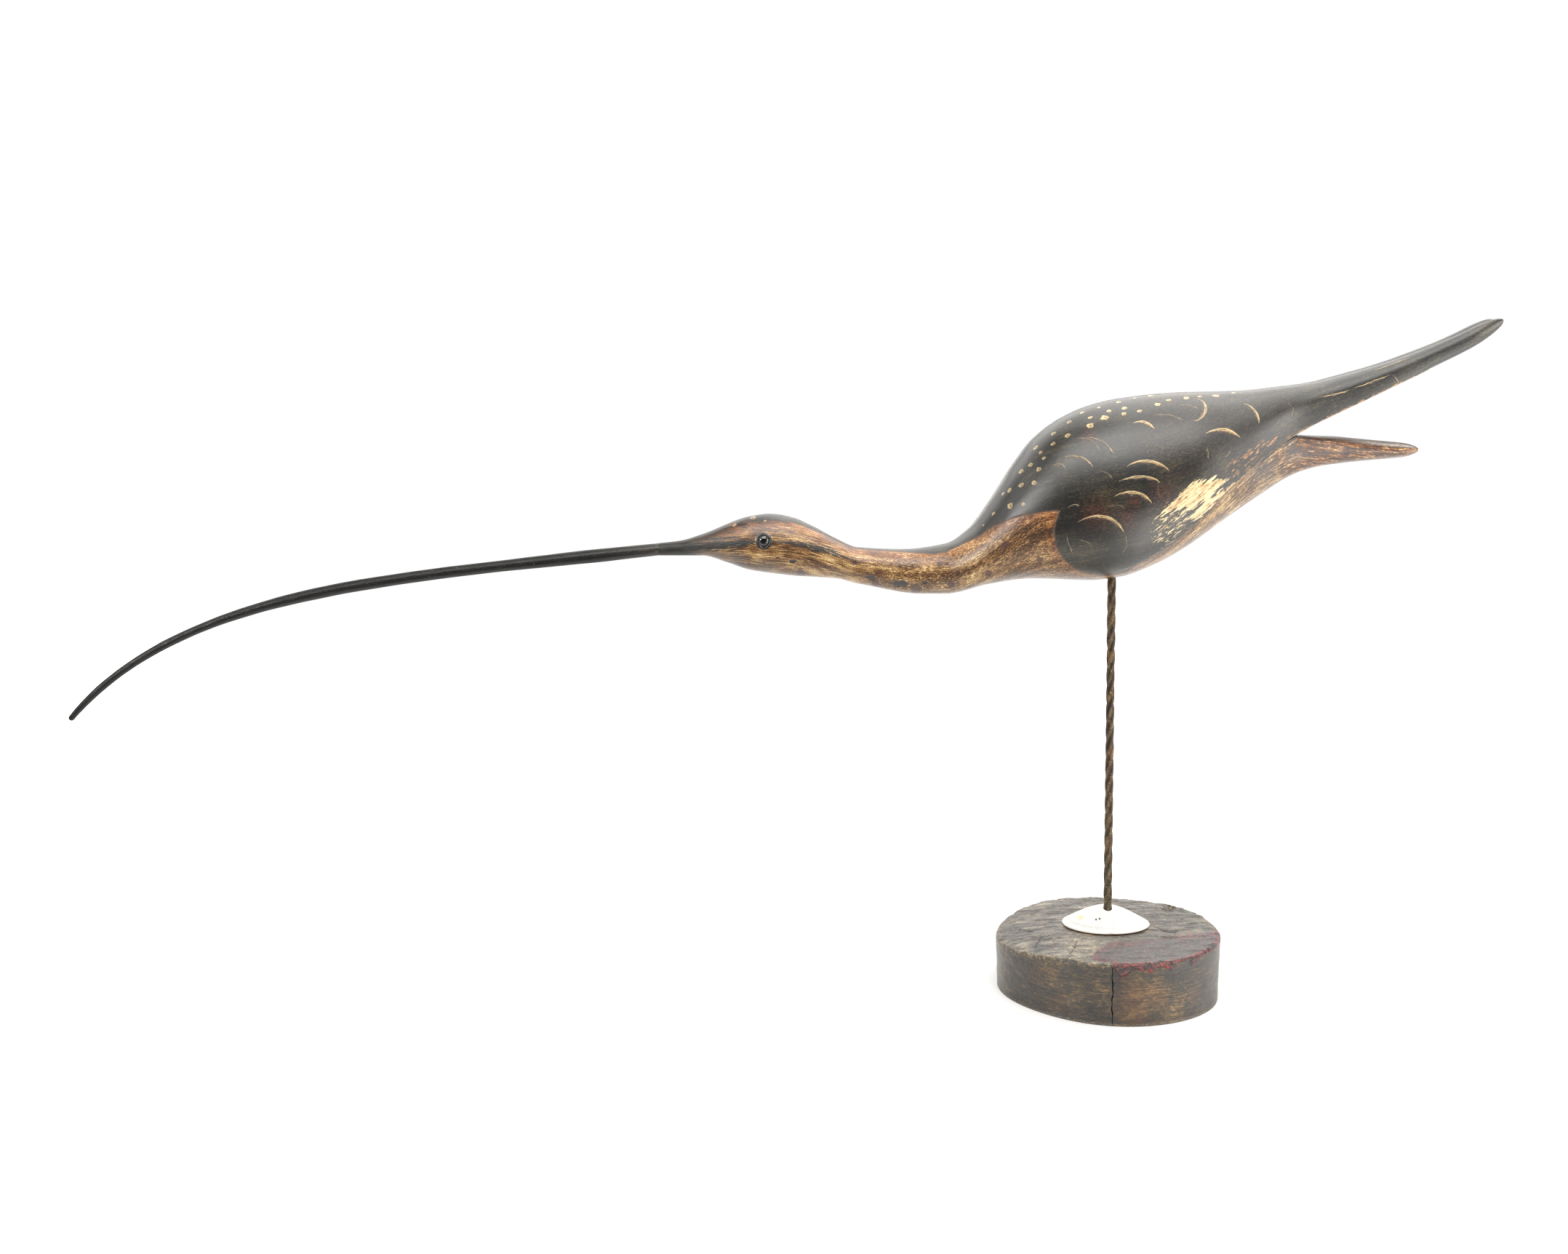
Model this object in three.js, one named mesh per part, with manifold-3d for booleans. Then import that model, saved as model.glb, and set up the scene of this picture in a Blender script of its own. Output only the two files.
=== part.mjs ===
// Shorebird decoy: a carved and painted curlew on a twisted iron leg, which stands in a rough
// wooden base and passes through a sea shell.
// Millimetres, +Z up. The bill points along -X and the tail along +X. The origin is on the leg's
// axis, on the flat underside of the base.

import * as THREE from 'three';
import { mergeVertices } from 'three/addons/utils/BufferGeometryUtils.js';
import Module from 'manifold-3d';

const wasm = await Module();
wasm.setup();

const DEGREE = Math.PI / 180;

// Base, a rough slice of wood
const BASE_DIAMETER = 125.5;
const BASE_THICKNESS = 34.5;
const BASE_LEFT_DROP = 5.5;
const BASE_RIGHT_RISE = 1.5;
const BASE_EDGE = 2;
const BASE_FLATS = [{ at: -138, depth: 3, sharpness: 6 }, { at: 3, depth: 1.6, sharpness: 16 }];

// Leg, a twisted square bar
const LEG_THICKNESS = 4;
const LEG_TURN = 41;
const LEG_SHOWING = 196.9;
const LEG_IN_BASE = 25;
const LEG_IN_BODY = 25;

// Shell, one thin valve lying hollow side down round the leg
const SHELL_WIDTH = 49;
const SHELL_DEPTH = 40;
const SHELL_HEIGHT = 12;
const SHELL_WALL = 1.4;
const SHELL_BACK_SHIFT = 6;
const SHELL_CROWN_SHIFT = 3;
const SHELL_CROWN_SOFTNESS = 0.2;

// Carving and bill
const CARVING_LENGTH = 465;
const BILL_LENGTH = 350.5;
const BILL_ROOT_DIAMETER = 6.9;
const BILL_FULL_DIAMETER = 7.5;
const BILL_TIP_DIAMETER = 3.4;
const BILL_TENON_DIAMETER = 4.2;
const BILL_TENON_LENGTH = 16;
const BILL_ROOT_ANGLE = 6;
const BILL_DROOP = 44.5;
const BILL_DROOP_POWER = 3.3;
const BILL_LEAN_IN = 0.05;

// Eyes
const EYE_DIAMETER = 6;
const EYE_PROUD = 1.2;
const EYE_SEAT = 2.2;

// Clearance between any two pieces that meet
const FIT_GAP = 0.3;

// Proportions of the carving, as percent of its length. Along is counted from the leg towards the
// tail, and up from the belly.
const PERCENT = CARVING_LENGTH / 100;
const BILL_HALF = BILL_ROOT_DIAMETER / 2 / PERCENT;
const HEAD_FRONT = -54;
const BILL_UP = 3.64;
const NOTCH = 20.9;
const WINGS_PART = 37;
const WING_TIP = 45.55;
const TAIL_TIP = 36.1;
const EYE_ALONG = -41.48;
const EYE_UP = 4.88;

// Along, up
const BACK_LINE = [
  [HEAD_FRONT, BILL_UP + BILL_HALF], [-51.4, 4.69], [-48.8, 5.48], [-43.25, 7.57], [-40.7, 7.91],
  [-38.1, 7.48], [-35.5, 6.34], [-32.9, 4.97], [-30.3, 3.91], [-25, 3.66], [-19.9, 4.34],
  [-17.25, 6.0], [-14.7, 9.4], [-12.1, 13.55], [-9.5, 16.9], [-6.1, 19.42], [-2.6, 20.88],
  [0.8, 21.66], [7.7, 22.34], [14.6, 22.5], [NOTCH, 23.14],
];
const BELLY_LINE = [
  [HEAD_FRONT, BILL_UP - BILL_HALF], [-48.8, 2.9], [-45.85, 2.09], [-43.25, 1.23], [-38, 0.52],
  [-32.9, 0.17], [-30.3, -0.45], [-22.5, -1.66], [-19.9, -1.66], [-14.7, -0.45], [-9.5, 0.2],
  [-2.6, 0], [0.84, 0.43], [4.3, 1.66], [7.74, 3.48], [14.6, 8.34], [NOTCH, 12.56],
];

// Along, half width
const WIDTH_LINE = [
  [HEAD_FRONT, BILL_HALF], [-48.8, 1.5], [-43.25, 2.55], [-39.4, 2.85], [-35.5, 2.62], [-30.3, 2.28],
  [-25, 2.37], [-19.9, 3.1], [-17.25, 4.0], [-12.1, 5.95], [-6.1, 7.55], [0.8, 8.28], [7.7, 7.75],
  [14.6, 6.1], [NOTCH, 3.95],
];

// Along, and a height as a share of the section's height
const WIDEST_LINE = [
  [HEAD_FRONT, 0.5], [-40.7, 0.44], [-30.3, 0.5], [-9.5, 0.45], [2, 0.45], [7.7, 0.48], [14.6, 0.56],
  [18, 0.64], [NOTCH, 0.7287],
];
const WING_EDGE_LINE = [
  [HEAD_FRONT, 0.12], [-6, 0.09], [-1, 0.052], [1.5, 0.067], [5, 0.106], [9, 0.185], [12, 0.275],
  [15.5, 0.372], [18.5, 0.432], [NOTCH, 0.4575],
];

// Wings behind the notch: along, middle height, half height, half width of the pair
const WING_LINE = [
  [NOTCH, 20.27, 2.87, 3.95], [23.1, 21.03, 2.45, 3.6], [26.54, 22.27, 2.06, 3.2],
  [33.38, 24.92, 1.47, 2.6], [40.17, 27.9, 1.22, 1.95], [WING_TIP, 30.7, 1.15, 1.5],
];

// Tail behind the notch: along, middle height, half height, half width
const TAIL_LINE = [
  [NOTCH, 14.97, 2.4, 3.4], [23.2, 15.3, 1.93, 3.15], [26.67, 15.5, 1.6, 2.85],
  [30.1, 15.5, 1.25, 2.6], [33.55, 15.5, 0.93, 2.2], [TAIL_TIP, 15.55, 0.71, 1.9],
];

// How proud the wings stand of the flank, where that starts and where the notch starts to cut in
const WING_PROUD = 0.62;
const WING_PROUD_START = 0;
const WING_PROUD_FULL = 16;
const NOTCH_START = 17.8;
const NOTCH_MOUTH = 0.32;

// The groove between the wings, the round of the tips and how the far wing differs
const GROOVE_START = 12;
const WING_TIP_ROUND = 4;
const TAIL_TIP_ROUND = 2.4;
const TIP_SPREAD = 0.2;
const FAR_TIP_SHORT = 0.4;

// Fullness of the sections: 2 is an ellipse
const FULLNESS = 2.1;

// Parts of a section from the groove down, and stations along the carving
const FACES = { groove: 2, flank: 9, underWing: 2, tailTop: 2, belly: 6 };
const STATIONS = { body: 52, wings: 7, tips: 8, tail: 12 };

// A smooth line through hand-picked points that never swings past them
function smoothLine(points, column = 1) {
  const rise = (i) => (points[i + 1][column] - points[i][column]) / (points[i + 1][0] - points[i][0]);
  const slopes = points.map((point, i) => {
    if (i === 0) return rise(0);
    if (i === points.length - 1) return rise(i - 1);
    const before = rise(i - 1);
    const after = rise(i);
    return before * after <= 0 ? 0 : (2 * before * after) / (before + after);
  });
  return (along) => {
    let i = 0;
    while (i < points.length - 2 && along > points[i + 1][0]) i += 1;
    const width = points[i + 1][0] - points[i][0];
    const t = THREE.MathUtils.clamp((along - points[i][0]) / width, 0, 1);
    const fade = t * t * (3 - 2 * t);
    return points[i][column] * (1 - fade) + points[i + 1][column] * fade
      + width * t * (1 - t) * (slopes[i] * (1 - t) - slopes[i + 1] * t);
  };
}

const ramp = (value, start, end) => THREE.MathUtils.clamp((value - start) / (end - start), 0, 1);
const lerp = THREE.MathUtils.lerp;
const roundEnd = (value, tip, length) => Math.sqrt(1 - ramp(value, tip - length, tip) ** 2);
const power = (value) => Math.max(value, 0) ** (2 / FULLNESS);
const unpower = (value) => Math.asin(Math.min(Math.max(value, 0), 1) ** (FULLNESS / 2));

// Collects triangles over shared corners, and drops those that have no area
class Skin {
  constructor() {
    this.corners = [];
    this.faces = [];
    this.known = new Map();
  }

  corner(point) {
    const key = point.map((value) => Math.round(value * 1e4)).join(',');
    if (!this.known.has(key)) {
      this.known.set(key, this.corners.length / 3);
      this.corners.push(...point);
    }
    return this.known.get(key);
  }

  triangle(a, b, c) {
    const [i, j, k] = [a, b, c].map((point) => this.corner(point));
    if (i !== j && j !== k && k !== i) this.faces.push(i, j, k);
  }

  // Covers the strip between each row of points and the next
  rows(rows, turned = false) {
    for (let r = 0; r + 1 < rows.length; r += 1) {
      for (let i = 0; i + 1 < rows[r].length; i += 1) {
        const [a, b, c, d] = [rows[r][i], rows[r][i + 1], rows[r + 1][i + 1], rows[r + 1][i]];
        this.triangle(a, turned ? c : b, turned ? b : c);
        this.triangle(a, turned ? d : c, turned ? c : d);
      }
    }
  }

  fan(centre, row, turned = false) {
    for (let i = 0; i + 1 < row.length; i += 1) {
      this.triangle(centre, row[turned ? i : i + 1], row[turned ? i + 1 : i]);
    }
  }

  geometry() {
    const geometry = new THREE.BufferGeometry();
    geometry.setAttribute('position', new THREE.Float32BufferAttribute(this.corners, 3));
    geometry.setIndex(this.faces);
    geometry.computeVertexNormals();
    return geometry;
  }
}

// A closed body through rings of points, each turning the same way, with a fan over both ends
function loft(rings) {
  const closed = rings.map((ring) => [...ring, ring[0]]);
  const middle = (ring) => [0, 1, 2].map((axis) => ring.reduce((sum, p) => sum + p[axis], 0) / ring.length);
  const skin = new Skin();
  skin.rows(closed);
  skin.fan(middle(rings[0]), closed[0]);
  skin.fan(middle(rings.at(-1)), closed.at(-1), true);
  return skin.geometry();
}

function solid(geometry) {
  const bare = geometry.clone();
  bare.deleteAttribute('normal');
  bare.deleteAttribute('uv');
  const merged = mergeVertices(bare, 1e-4);
  return new wasm.Manifold(new wasm.Mesh({
    numProp: 3,
    vertProperties: new Float32Array(merged.attributes.position.array),
    triVerts: new Uint32Array(merged.index.array),
  }));
}

function cut(geometry, cutters) {
  const whole = cutters.reduce((rest, cutter) => rest.subtract(solid(cutter)), solid(geometry));
  const mesh = whole.getMesh();
  const result = new THREE.BufferGeometry();
  result.setAttribute('position', new THREE.Float32BufferAttribute(mesh.vertProperties, 3));
  result.setIndex([...mesh.triVerts]);
  result.computeVertexNormals();
  return result;
}

// A round drill along Z from one height to another
function uprightDrill(radius, low, high, sides = 20) {
  const drill = new THREE.CylinderGeometry(radius, radius, high - low, sides);
  drill.rotateX(Math.PI / 2);
  drill.translate(0, 0, (low + high) / 2);
  return drill;
}

function mesh(name, geometry, colour, roughness, metalness = 0) {
  const material = new THREE.MeshStandardMaterial({ color: colour, roughness, metalness });
  const made = new THREE.Mesh(geometry, material);
  made.name = name;
  return made;
}

// Sizes that follow from the driving ones
const BASE_RADIUS = BASE_DIAMETER / 2;
const BELLY_HEIGHT = BASE_THICKNESS + LEG_SHOWING;
const LEG_CORNER_POWER = 4;
const LEG_CORNER_RADIUS = (LEG_THICKNESS / 2) * 2 ** (1 / 2 - 1 / LEG_CORNER_POWER);
const LEG_HOLE_RADIUS = LEG_CORNER_RADIUS + FIT_GAP;
const SHELL_SEAT = SHELL_WIDTH / 2 + 2;

// The base is round but for shallow flats hewn on its rim
function rimRadius(angle) {
  const hewn = BASE_FLATS.map(({ at, depth, sharpness }) => (
    depth * Math.max(Math.cos(angle - at * DEGREE), 0) ** sharpness));
  return hewn.reduce((radius, depth) => radius - depth, BASE_RADIUS);
}

// Its top is level under the shell, falls to the left edge and rises a little to the right
function topHeight(x) {
  const left = ramp(-x, SHELL_SEAT, BASE_RADIUS) ** 1.3;
  return BASE_THICKNESS - BASE_LEFT_DROP * left + BASE_RIGHT_RISE * ramp(x, SHELL_SEAT, BASE_RADIUS);
}

function baseBlock() {
  const sides = 48;
  const ring = (share, inset, up) => Array.from({ length: sides }, (unused, i) => {
    const angle = (i / sides) * 2 * Math.PI;
    const reach = rimRadius(angle) * share - inset;
    const x = reach * Math.cos(angle);
    return [x, reach * Math.sin(angle), up(x)];
  });
  const level = (height) => () => height;
  const below = (depth) => (x) => topHeight(x) - depth;
  const rings = [
    ring(0.5, 0, level(0)), ring(1, BASE_EDGE, level(0)), ring(1, BASE_EDGE / 2, level(BASE_EDGE / 2)),
    ring(1, 0, below(BASE_EDGE)), ring(1, BASE_EDGE * 0.3, below(BASE_EDGE * 0.3)),
    ring(1, BASE_EDGE, below(0)), ring(0.8, 0, below(0)), ring(0.62, 0, below(0)), ring(0.4, 0, below(0)),
  ];
  const socket = uprightDrill(LEG_HOLE_RADIUS, BASE_THICKNESS - LEG_IN_BASE - FIT_GAP, BASE_THICKNESS * 2);
  return cut(loft(rings), [socket]);
}

function legRod() {
  const bottom = BASE_THICKNESS - LEG_IN_BASE;
  const length = BELLY_HEIGHT + LEG_IN_BODY - bottom;
  const steps = Math.ceil((length / LEG_TURN) * 12);
  const sides = 8;
  const rings = Array.from({ length: steps + 1 }, (unused, step) => {
    const up = (step / steps) * length;
    const twist = (up / LEG_TURN) * 2 * Math.PI;
    return Array.from({ length: sides }, (none, i) => {
      const angle = (i / sides) * 2 * Math.PI;
      const radius = i % 2 ? LEG_CORNER_RADIUS : LEG_THICKNESS / 2;
      return [radius * Math.cos(angle + twist), radius * Math.sin(angle + twist), up];
    });
  });
  const geometry = loft(rings);
  return { geometry, bottom };
}

// The shell's height above its margin: a soft peak over a nearly straight slope
function shellRise(reach) {
  const slope = (value) => Math.hypot(value, SHELL_CROWN_SOFTNESS) - SHELL_CROWN_SOFTNESS;
  return 1 - slope(reach) / slope(1);
}

function shellValve() {
  const sides = 32;
  const reaches = [0.16, 0.32, 0.5, 0.68, 0.84, 0.95];
  const ring = (reach, up, wall = 0) => Array.from({ length: sides }, (unused, i) => {
    const angle = (i / sides) * 2 * Math.PI;
    const middle = lerp(SHELL_CROWN_SHIFT, SHELL_BACK_SHIFT, reach);
    return [
      (SHELL_WIDTH / 2 - wall) * reach * Math.cos(angle),
      (SHELL_DEPTH / 2 - wall) * reach * Math.sin(angle) + middle,
      up,
    ];
  });
  const margin = SHELL_WALL * 0.8;
  const outer = reaches.map((reach) => ring(reach, margin + (SHELL_HEIGHT - margin) * shellRise(reach)));
  const inner = reaches.map((reach) => (
    ring(reach, (SHELL_HEIGHT - SHELL_WALL * 1.25) * shellRise(reach), SHELL_WALL)));
  const rim = [ring(1, margin), ring(1, margin * 0.4), ring(1, 0, margin * 0.5), ring(1, 0, SHELL_WALL)];
  const rings = [...inner, ...rim.reverse(), ...outer.reverse()];
  return cut(loft(rings), [uprightDrill(LEG_HOLE_RADIUS, -1, SHELL_HEIGHT * 2)]);
}

const line = {
  back: smoothLine(BACK_LINE),
  belly: smoothLine(BELLY_LINE),
  width: smoothLine(WIDTH_LINE),
  widest: smoothLine(WIDEST_LINE),
  wingEdge: smoothLine(WING_EDGE_LINE),
  wing: [1, 2, 3].map((column) => smoothLine(WING_LINE, column)),
  tail: [1, 2, 3].map((column) => smoothLine(TAIL_LINE, column)),
};

// The section's measures in front of the notch
function bodySection(along) {
  const top = line.back(along);
  const bottom = line.belly(along);
  const height = top - bottom;
  const half = line.width(along);
  const widest = bottom + line.widest(along) * height;
  const edge = bottom + line.wingEdge(along) * height;
  const mouth = (NOTCH_MOUTH / 2) * ramp(along, NOTCH_START, NOTCH);
  const apart = ramp(along, GROOVE_START, WINGS_PART);
  const ridge = (half / 2) * apart;
  return {
    top, bottom, half, widest, edge, mouth, ridge, drop: widest - bottom,
    inner: 0, valley: top - (top - widest) * apart ** 1.5,
    proud: WING_PROUD * ramp(along, WING_PROUD_START, WING_PROUD_FULL),
    plunge: ramp(along, NOTCH_START, NOTCH) ** 2,
  };
}

// The flank's reach out from the middle at the wing's lower edge
function flankReach(section, height) {
  const below = section.widest - height;
  const turn = below > 0 ? unpower(below / section.drop) : 0;
  return { turn, reach: section.ridge + (section.half - section.ridge) * power(Math.cos(turn)) };
}

// The wing pair's measures behind the notch
function wingSection(along) {
  const [middle, halfHeight, pairHalf] = line.wing.map((smooth) => smooth(along));
  const round = roundEnd(along, WING_TIP, WING_TIP_ROUND);
  const high = halfHeight * round;
  const spread = TIP_SPREAD * ramp(along, WINGS_PART, WING_TIP);
  const apart = ramp(along, GROOVE_START, WINGS_PART);
  const ridge = lerp(0, (pairHalf + spread) / 2, apart);
  const parted = along >= WINGS_PART;
  const front = bodySection(NOTCH);
  const fade = ramp(along, NOTCH, WINGS_PART);
  return {
    top: middle + high,
    widest: middle,
    half: ridge + (pairHalf - ridge) * round,
    ridge,
    drop: lerp(front.drop, high, Math.sqrt(fade)),
    edge: middle - high,
    mouth: (NOTCH_MOUTH / 2) * (1 - fade),
    inner: parted ? ridge - (ridge - spread) * round : 0,
    valley: parted ? middle : middle + high * (1 - apart ** 1.5),
    under: parted ? middle : middle - high * (1 - fade ** 1.5),
  };
}

// The tail's measures behind the notch
function tailSection(along) {
  const [middle, halfHeight, half] = line.tail.map((smooth) => smooth(along));
  const round = roundEnd(along, TAIL_TIP, TAIL_TIP_ROUND);
  const high = halfHeight * round;
  const front = bodySection(NOTCH);
  const frontReach = flankReach(front, front.edge + front.mouth).reach - front.proud;
  const fade = ramp(along, NOTCH, TAIL_TIP - TAIL_TIP_ROUND);
  const rim = lerp(middle + high - front.mouth * round, middle, fade);
  return {
    top: middle + high,
    bottom: middle - high,
    rim,
    reach: lerp(frontReach, half, Math.min(fade * 4, 1)) * round,
    centre: lerp(front.widest, rim, Math.min(fade * 1.5, 1)),
  };
}

const quarter = (steps, first, visit) => {
  for (let i = first; i <= steps; i += 1) visit(((i / steps) * Math.PI) / 2);
};

// From the groove on top, over the flank and under the wing, as pairs of outward reach and height
function upperPoints(section, deepReach, deepHeight) {
  const points = [];
  quarter(FACES.groove, 0, (turn) => points.push([
    section.ridge - (section.ridge - section.inner) * Math.cos(turn),
    section.valley + (section.top - section.valley) * Math.sin(turn)]));
  const edgeHeight = section.edge + section.mouth;
  const { turn: edgeTurn, reach: edgeReach } = flankReach(section, edgeHeight);
  for (let i = 1; i <= FACES.flank; i += 1) {
    const turn = lerp(Math.PI / 2, -edgeTurn, i / FACES.flank);
    const rise = turn > 0 ? section.top - section.widest : -section.drop;
    points.push([
      section.ridge + (section.half - section.ridge) * power(Math.cos(turn)),
      section.widest + rise * power(Math.abs(Math.sin(turn)))]);
  }
  quarter(FACES.underWing, 1, (turn) => points.push([
    edgeReach - (edgeReach - deepReach) * Math.sin(turn),
    edgeHeight + (deepHeight - edgeHeight) * (1 - Math.cos(turn))]));
  return points;
}

// From the middle of the tail's top, over its rim and round the belly
function lowerPoints(deepReach, deepHeight, reach, rim, centre, bottom) {
  const points = [];
  quarter(FACES.tailTop, 0, (turn) => points.push([
    deepReach + (reach - deepReach) * Math.sin(turn),
    rim + (deepHeight - rim) * Math.cos(turn)]));
  const drop = centre - bottom;
  const rimTurn = drop > 0 ? unpower((centre - rim) / drop) : 0;
  const rimShare = power(Math.cos(rimTurn));
  for (let i = 1; i <= FACES.belly; i += 1) {
    const turn = lerp(rimTurn, Math.PI / 2, i / FACES.belly);
    const share = i === FACES.belly ? 0 : power(Math.cos(turn)) / rimShare;
    points.push([reach * share, centre - drop * power(Math.sin(turn))]);
  }
  return points;
}

// One side of the carving at a station, in millimetres. Side is -1 towards -Y and 1 towards +Y.
function bodyRow(along, side) {
  const section = bodySection(along);
  const flank = flankReach(section, section.edge + section.mouth).reach;
  const reach = flank - section.proud;
  const deep = reach * (1 - section.plunge);
  const upper = upperPoints(section, deep, section.edge);
  const rim = section.edge - section.mouth;
  const lower = lowerPoints(deep, section.edge, reach, rim, section.widest, section.bottom);
  return { upper: place(upper, along, side), lower: place(lower, along, side) };
}

function wingRow(along, side) {
  const section = wingSection(along);
  const far = side > 0 ? ramp(along, WINGS_PART, WING_TIP) ** 2 : 0;
  const points = upperPoints(section, section.inner, section.under);
  return place(points, along - FAR_TIP_SHORT * far, side);
}

function tailRow(along, side) {
  const { top, bottom, reach, rim, centre } = tailSection(along);
  return place(lowerPoints(0, top, reach, rim, centre, bottom), along, side);
}

function place(points, along, side) {
  return points.map(([out, up]) => [along * PERCENT, side * out * PERCENT, up * PERCENT]);
}

// Stations from one place to another, drawn together towards a round tip
function stations(start, end, count, tip = 0) {
  const parts = Array.from({ length: count + 1 }, (unused, i) => i / count);
  const eased = parts.map((t) => lerp(t, Math.sin((t * Math.PI) / 2), tip));
  return eased.map((t) => lerp(start, end, t));
}

function carvedBird(eyeReach) {
  const skin = new Skin();
  const front = [HEAD_FRONT * PERCENT, 0, BILL_UP * PERCENT];
  for (const side of [-1, 1]) {
    const turned = side > 0;
    const body = stations(HEAD_FRONT, NOTCH, STATIONS.body).map((along) => bodyRow(along, side));
    skin.rows(body.map((row) => row.upper), turned);
    skin.rows(body.map((row) => row.lower), turned);
    skin.fan(front, [...body[0].upper, ...body[0].lower], turned);
    const wings = stations(NOTCH, WINGS_PART, STATIONS.wings).slice(1);
    const tips = stations(WINGS_PART, WING_TIP, STATIONS.tips, 1).slice(1);
    const wingRows = [...wings, ...tips].map((along) => wingRow(along, side));
    skin.rows([body.at(-1).upper, ...wingRows], turned);
    const tail = stations(NOTCH, TAIL_TIP, STATIONS.tail, 0.7).slice(1);
    skin.rows([body.at(-1).lower, ...tail.map((along) => tailRow(along, side))], turned);
  }
  const legSocket = uprightDrill(LEG_HOLE_RADIUS, -LEG_IN_BODY, LEG_IN_BODY + FIT_GAP);
  const tenonRadius = BILL_TENON_DIAMETER / 2 + FIT_GAP;
  const tenonReach = BILL_TENON_LENGTH + FIT_GAP;
  const billSocket = new THREE.CylinderGeometry(tenonRadius, tenonRadius, tenonReach * 2, 16);
  billSocket.rotateZ(Math.PI / 2);
  billSocket.translate(...front);
  const eyeSockets = [-1, 1].map((side) => {
    const radius = EYE_DIAMETER / 2 + FIT_GAP;
    const deep = eyeReach - EYE_SEAT - FIT_GAP;
    const socket = new THREE.CylinderGeometry(radius, radius, deep, 24);
    socket.translate(EYE_ALONG * PERCENT, side * deep * 1.5, EYE_UP * PERCENT);
    return socket;
  });
  return cut(skin.geometry(), [legSocket, billSocket, ...eyeSockets]);
}

// How far out the head's side is at the eye
function headReach() {
  const section = bodySection(EYE_ALONG);
  const above = (EYE_UP - section.widest) / (section.top - section.widest);
  return section.half * power(Math.cos(unpower(above))) * PERCENT;
}

// The bill's line turns down slowly at first and faster towards the tip
const droop = (share) => (BILL_ROOT_ANGLE + BILL_DROOP * share ** BILL_DROOP_POWER) * DEGREE;

function bill() {
  const steps = 36;
  const sides = 12;
  const widths = smoothLine([
    [0, BILL_ROOT_DIAMETER], [0.1, BILL_FULL_DIAMETER], [0.3, BILL_FULL_DIAMETER * 0.86],
    [0.52, BILL_FULL_DIAMETER * 0.9], [0.7, BILL_FULL_DIAMETER * 0.7],
    [0.93, BILL_FULL_DIAMETER * 0.59], [1, BILL_TIP_DIAMETER],
  ]);
  const shoulder = HEAD_FRONT * PERCENT - FIT_GAP;
  const circle = (x, z, radius, lean) => Array.from({ length: sides }, (unused, i) => {
    const angle = (i / sides) * 2 * Math.PI;
    const up = radius * Math.sin(angle);
    return [x - up * Math.sin(lean), radius * Math.cos(angle), z + up * Math.cos(lean)];
  });
  const up = BILL_UP * PERCENT;
  const tenon = BILL_TENON_DIAMETER / 2;
  const rings = [circle(shoulder + BILL_TENON_LENGTH, up, tenon, 0), circle(shoulder, up, tenon, 0)];
  let x = shoulder;
  let z = up;
  const rounded = BILL_TIP_DIAMETER / 2 / BILL_LENGTH;
  const stride = (1 - rounded) / steps;
  for (let step = 0; step <= steps; step += 1) {
    const share = step * stride;
    rings.push(circle(x, z, widths(share) / 2, droop(share) * Math.min(share / BILL_LEAN_IN, 1)));
    if (step < steps) {
      const ahead = droop(share + stride / 2);
      x -= stride * BILL_LENGTH * Math.cos(ahead);
      z -= stride * BILL_LENGTH * Math.sin(ahead);
    }
  }
  const angle = droop(1);
  const nose = BILL_TIP_DIAMETER / 2;
  for (const turn of [30, 60, 80]) {
    const reach = nose * Math.sin(turn * DEGREE);
    rings.push(circle(
      x - reach * Math.cos(angle), z - reach * Math.sin(angle), nose * Math.cos(turn * DEGREE), angle));
  }
  return loft(rings.reverse());
}

// A glass button: a flat back, a short round side and a dome, turned about Y
function eyeButton() {
  const radius = EYE_DIAMETER / 2;
  const side = EYE_SEAT - EYE_PROUD / 2;
  const dome = EYE_PROUD * 1.5;
  const profile = [new THREE.Vector2(0, 0), new THREE.Vector2(radius, 0), new THREE.Vector2(radius, side)];
  quarter(5, 1, (turn) => profile.push(new THREE.Vector2(
    Math.max(radius * Math.cos(turn), 0), side + dome * Math.sin(turn))));
  profile.at(-1).x = 0;
  return new THREE.LatheGeometry(profile, 20);
}

const decoy = new THREE.Group();

decoy.add(mesh('base_block', baseBlock(), 0x4d463d, 0.75));

const leg = legRod();
const legMesh = mesh('leg_rod', leg.geometry, 0x5c4f40, 0.7, 0.6);
legMesh.position.z = leg.bottom;
decoy.add(legMesh);

const shellMesh = mesh('shell', shellValve(), 0xf2f1ec, 0.45);
shellMesh.position.z = BASE_THICKNESS + FIT_GAP;
decoy.add(shellMesh);

const bird = new THREE.Group();
bird.position.z = BELLY_HEIGHT;
decoy.add(bird);

const eyeReach = headReach();
bird.add(mesh('carved_bird', carvedBird(eyeReach), 0x6b5238, 0.45));
bird.add(mesh('bill', bill(), 0x232424, 0.4));
for (const [name, side] of [['eye_left', -1], ['eye_right', 1]]) {
  const eye = mesh(name, eyeButton(), 0x120b07, 0.08);
  eye.position.set(EYE_ALONG * PERCENT, side * (eyeReach - EYE_SEAT), EYE_UP * PERCENT);
  eye.rotation.z = side < 0 ? Math.PI : 0;
  bird.add(eye);
}

export default decoy;
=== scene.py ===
"""Shorebird decoy: the looks of a carved and painted curlew on its twisted iron leg, sea shell and base.

Metres, +Z up. The bill points along -X, the tail along +X, and the side that the camera sees is -Y.
The origin is on the leg's axis, on the flat underside of the base.
"""
import math
from types import SimpleNamespace

import bmesh
import bpy
import numpy as np
from bpy.props import FloatProperty, FloatVectorProperty, IntProperty, PointerProperty
from mathutils import Matrix, Vector, noise
from mathutils.bvhtree import BVHTree
from mathutils.kdtree import KDTree


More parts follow.
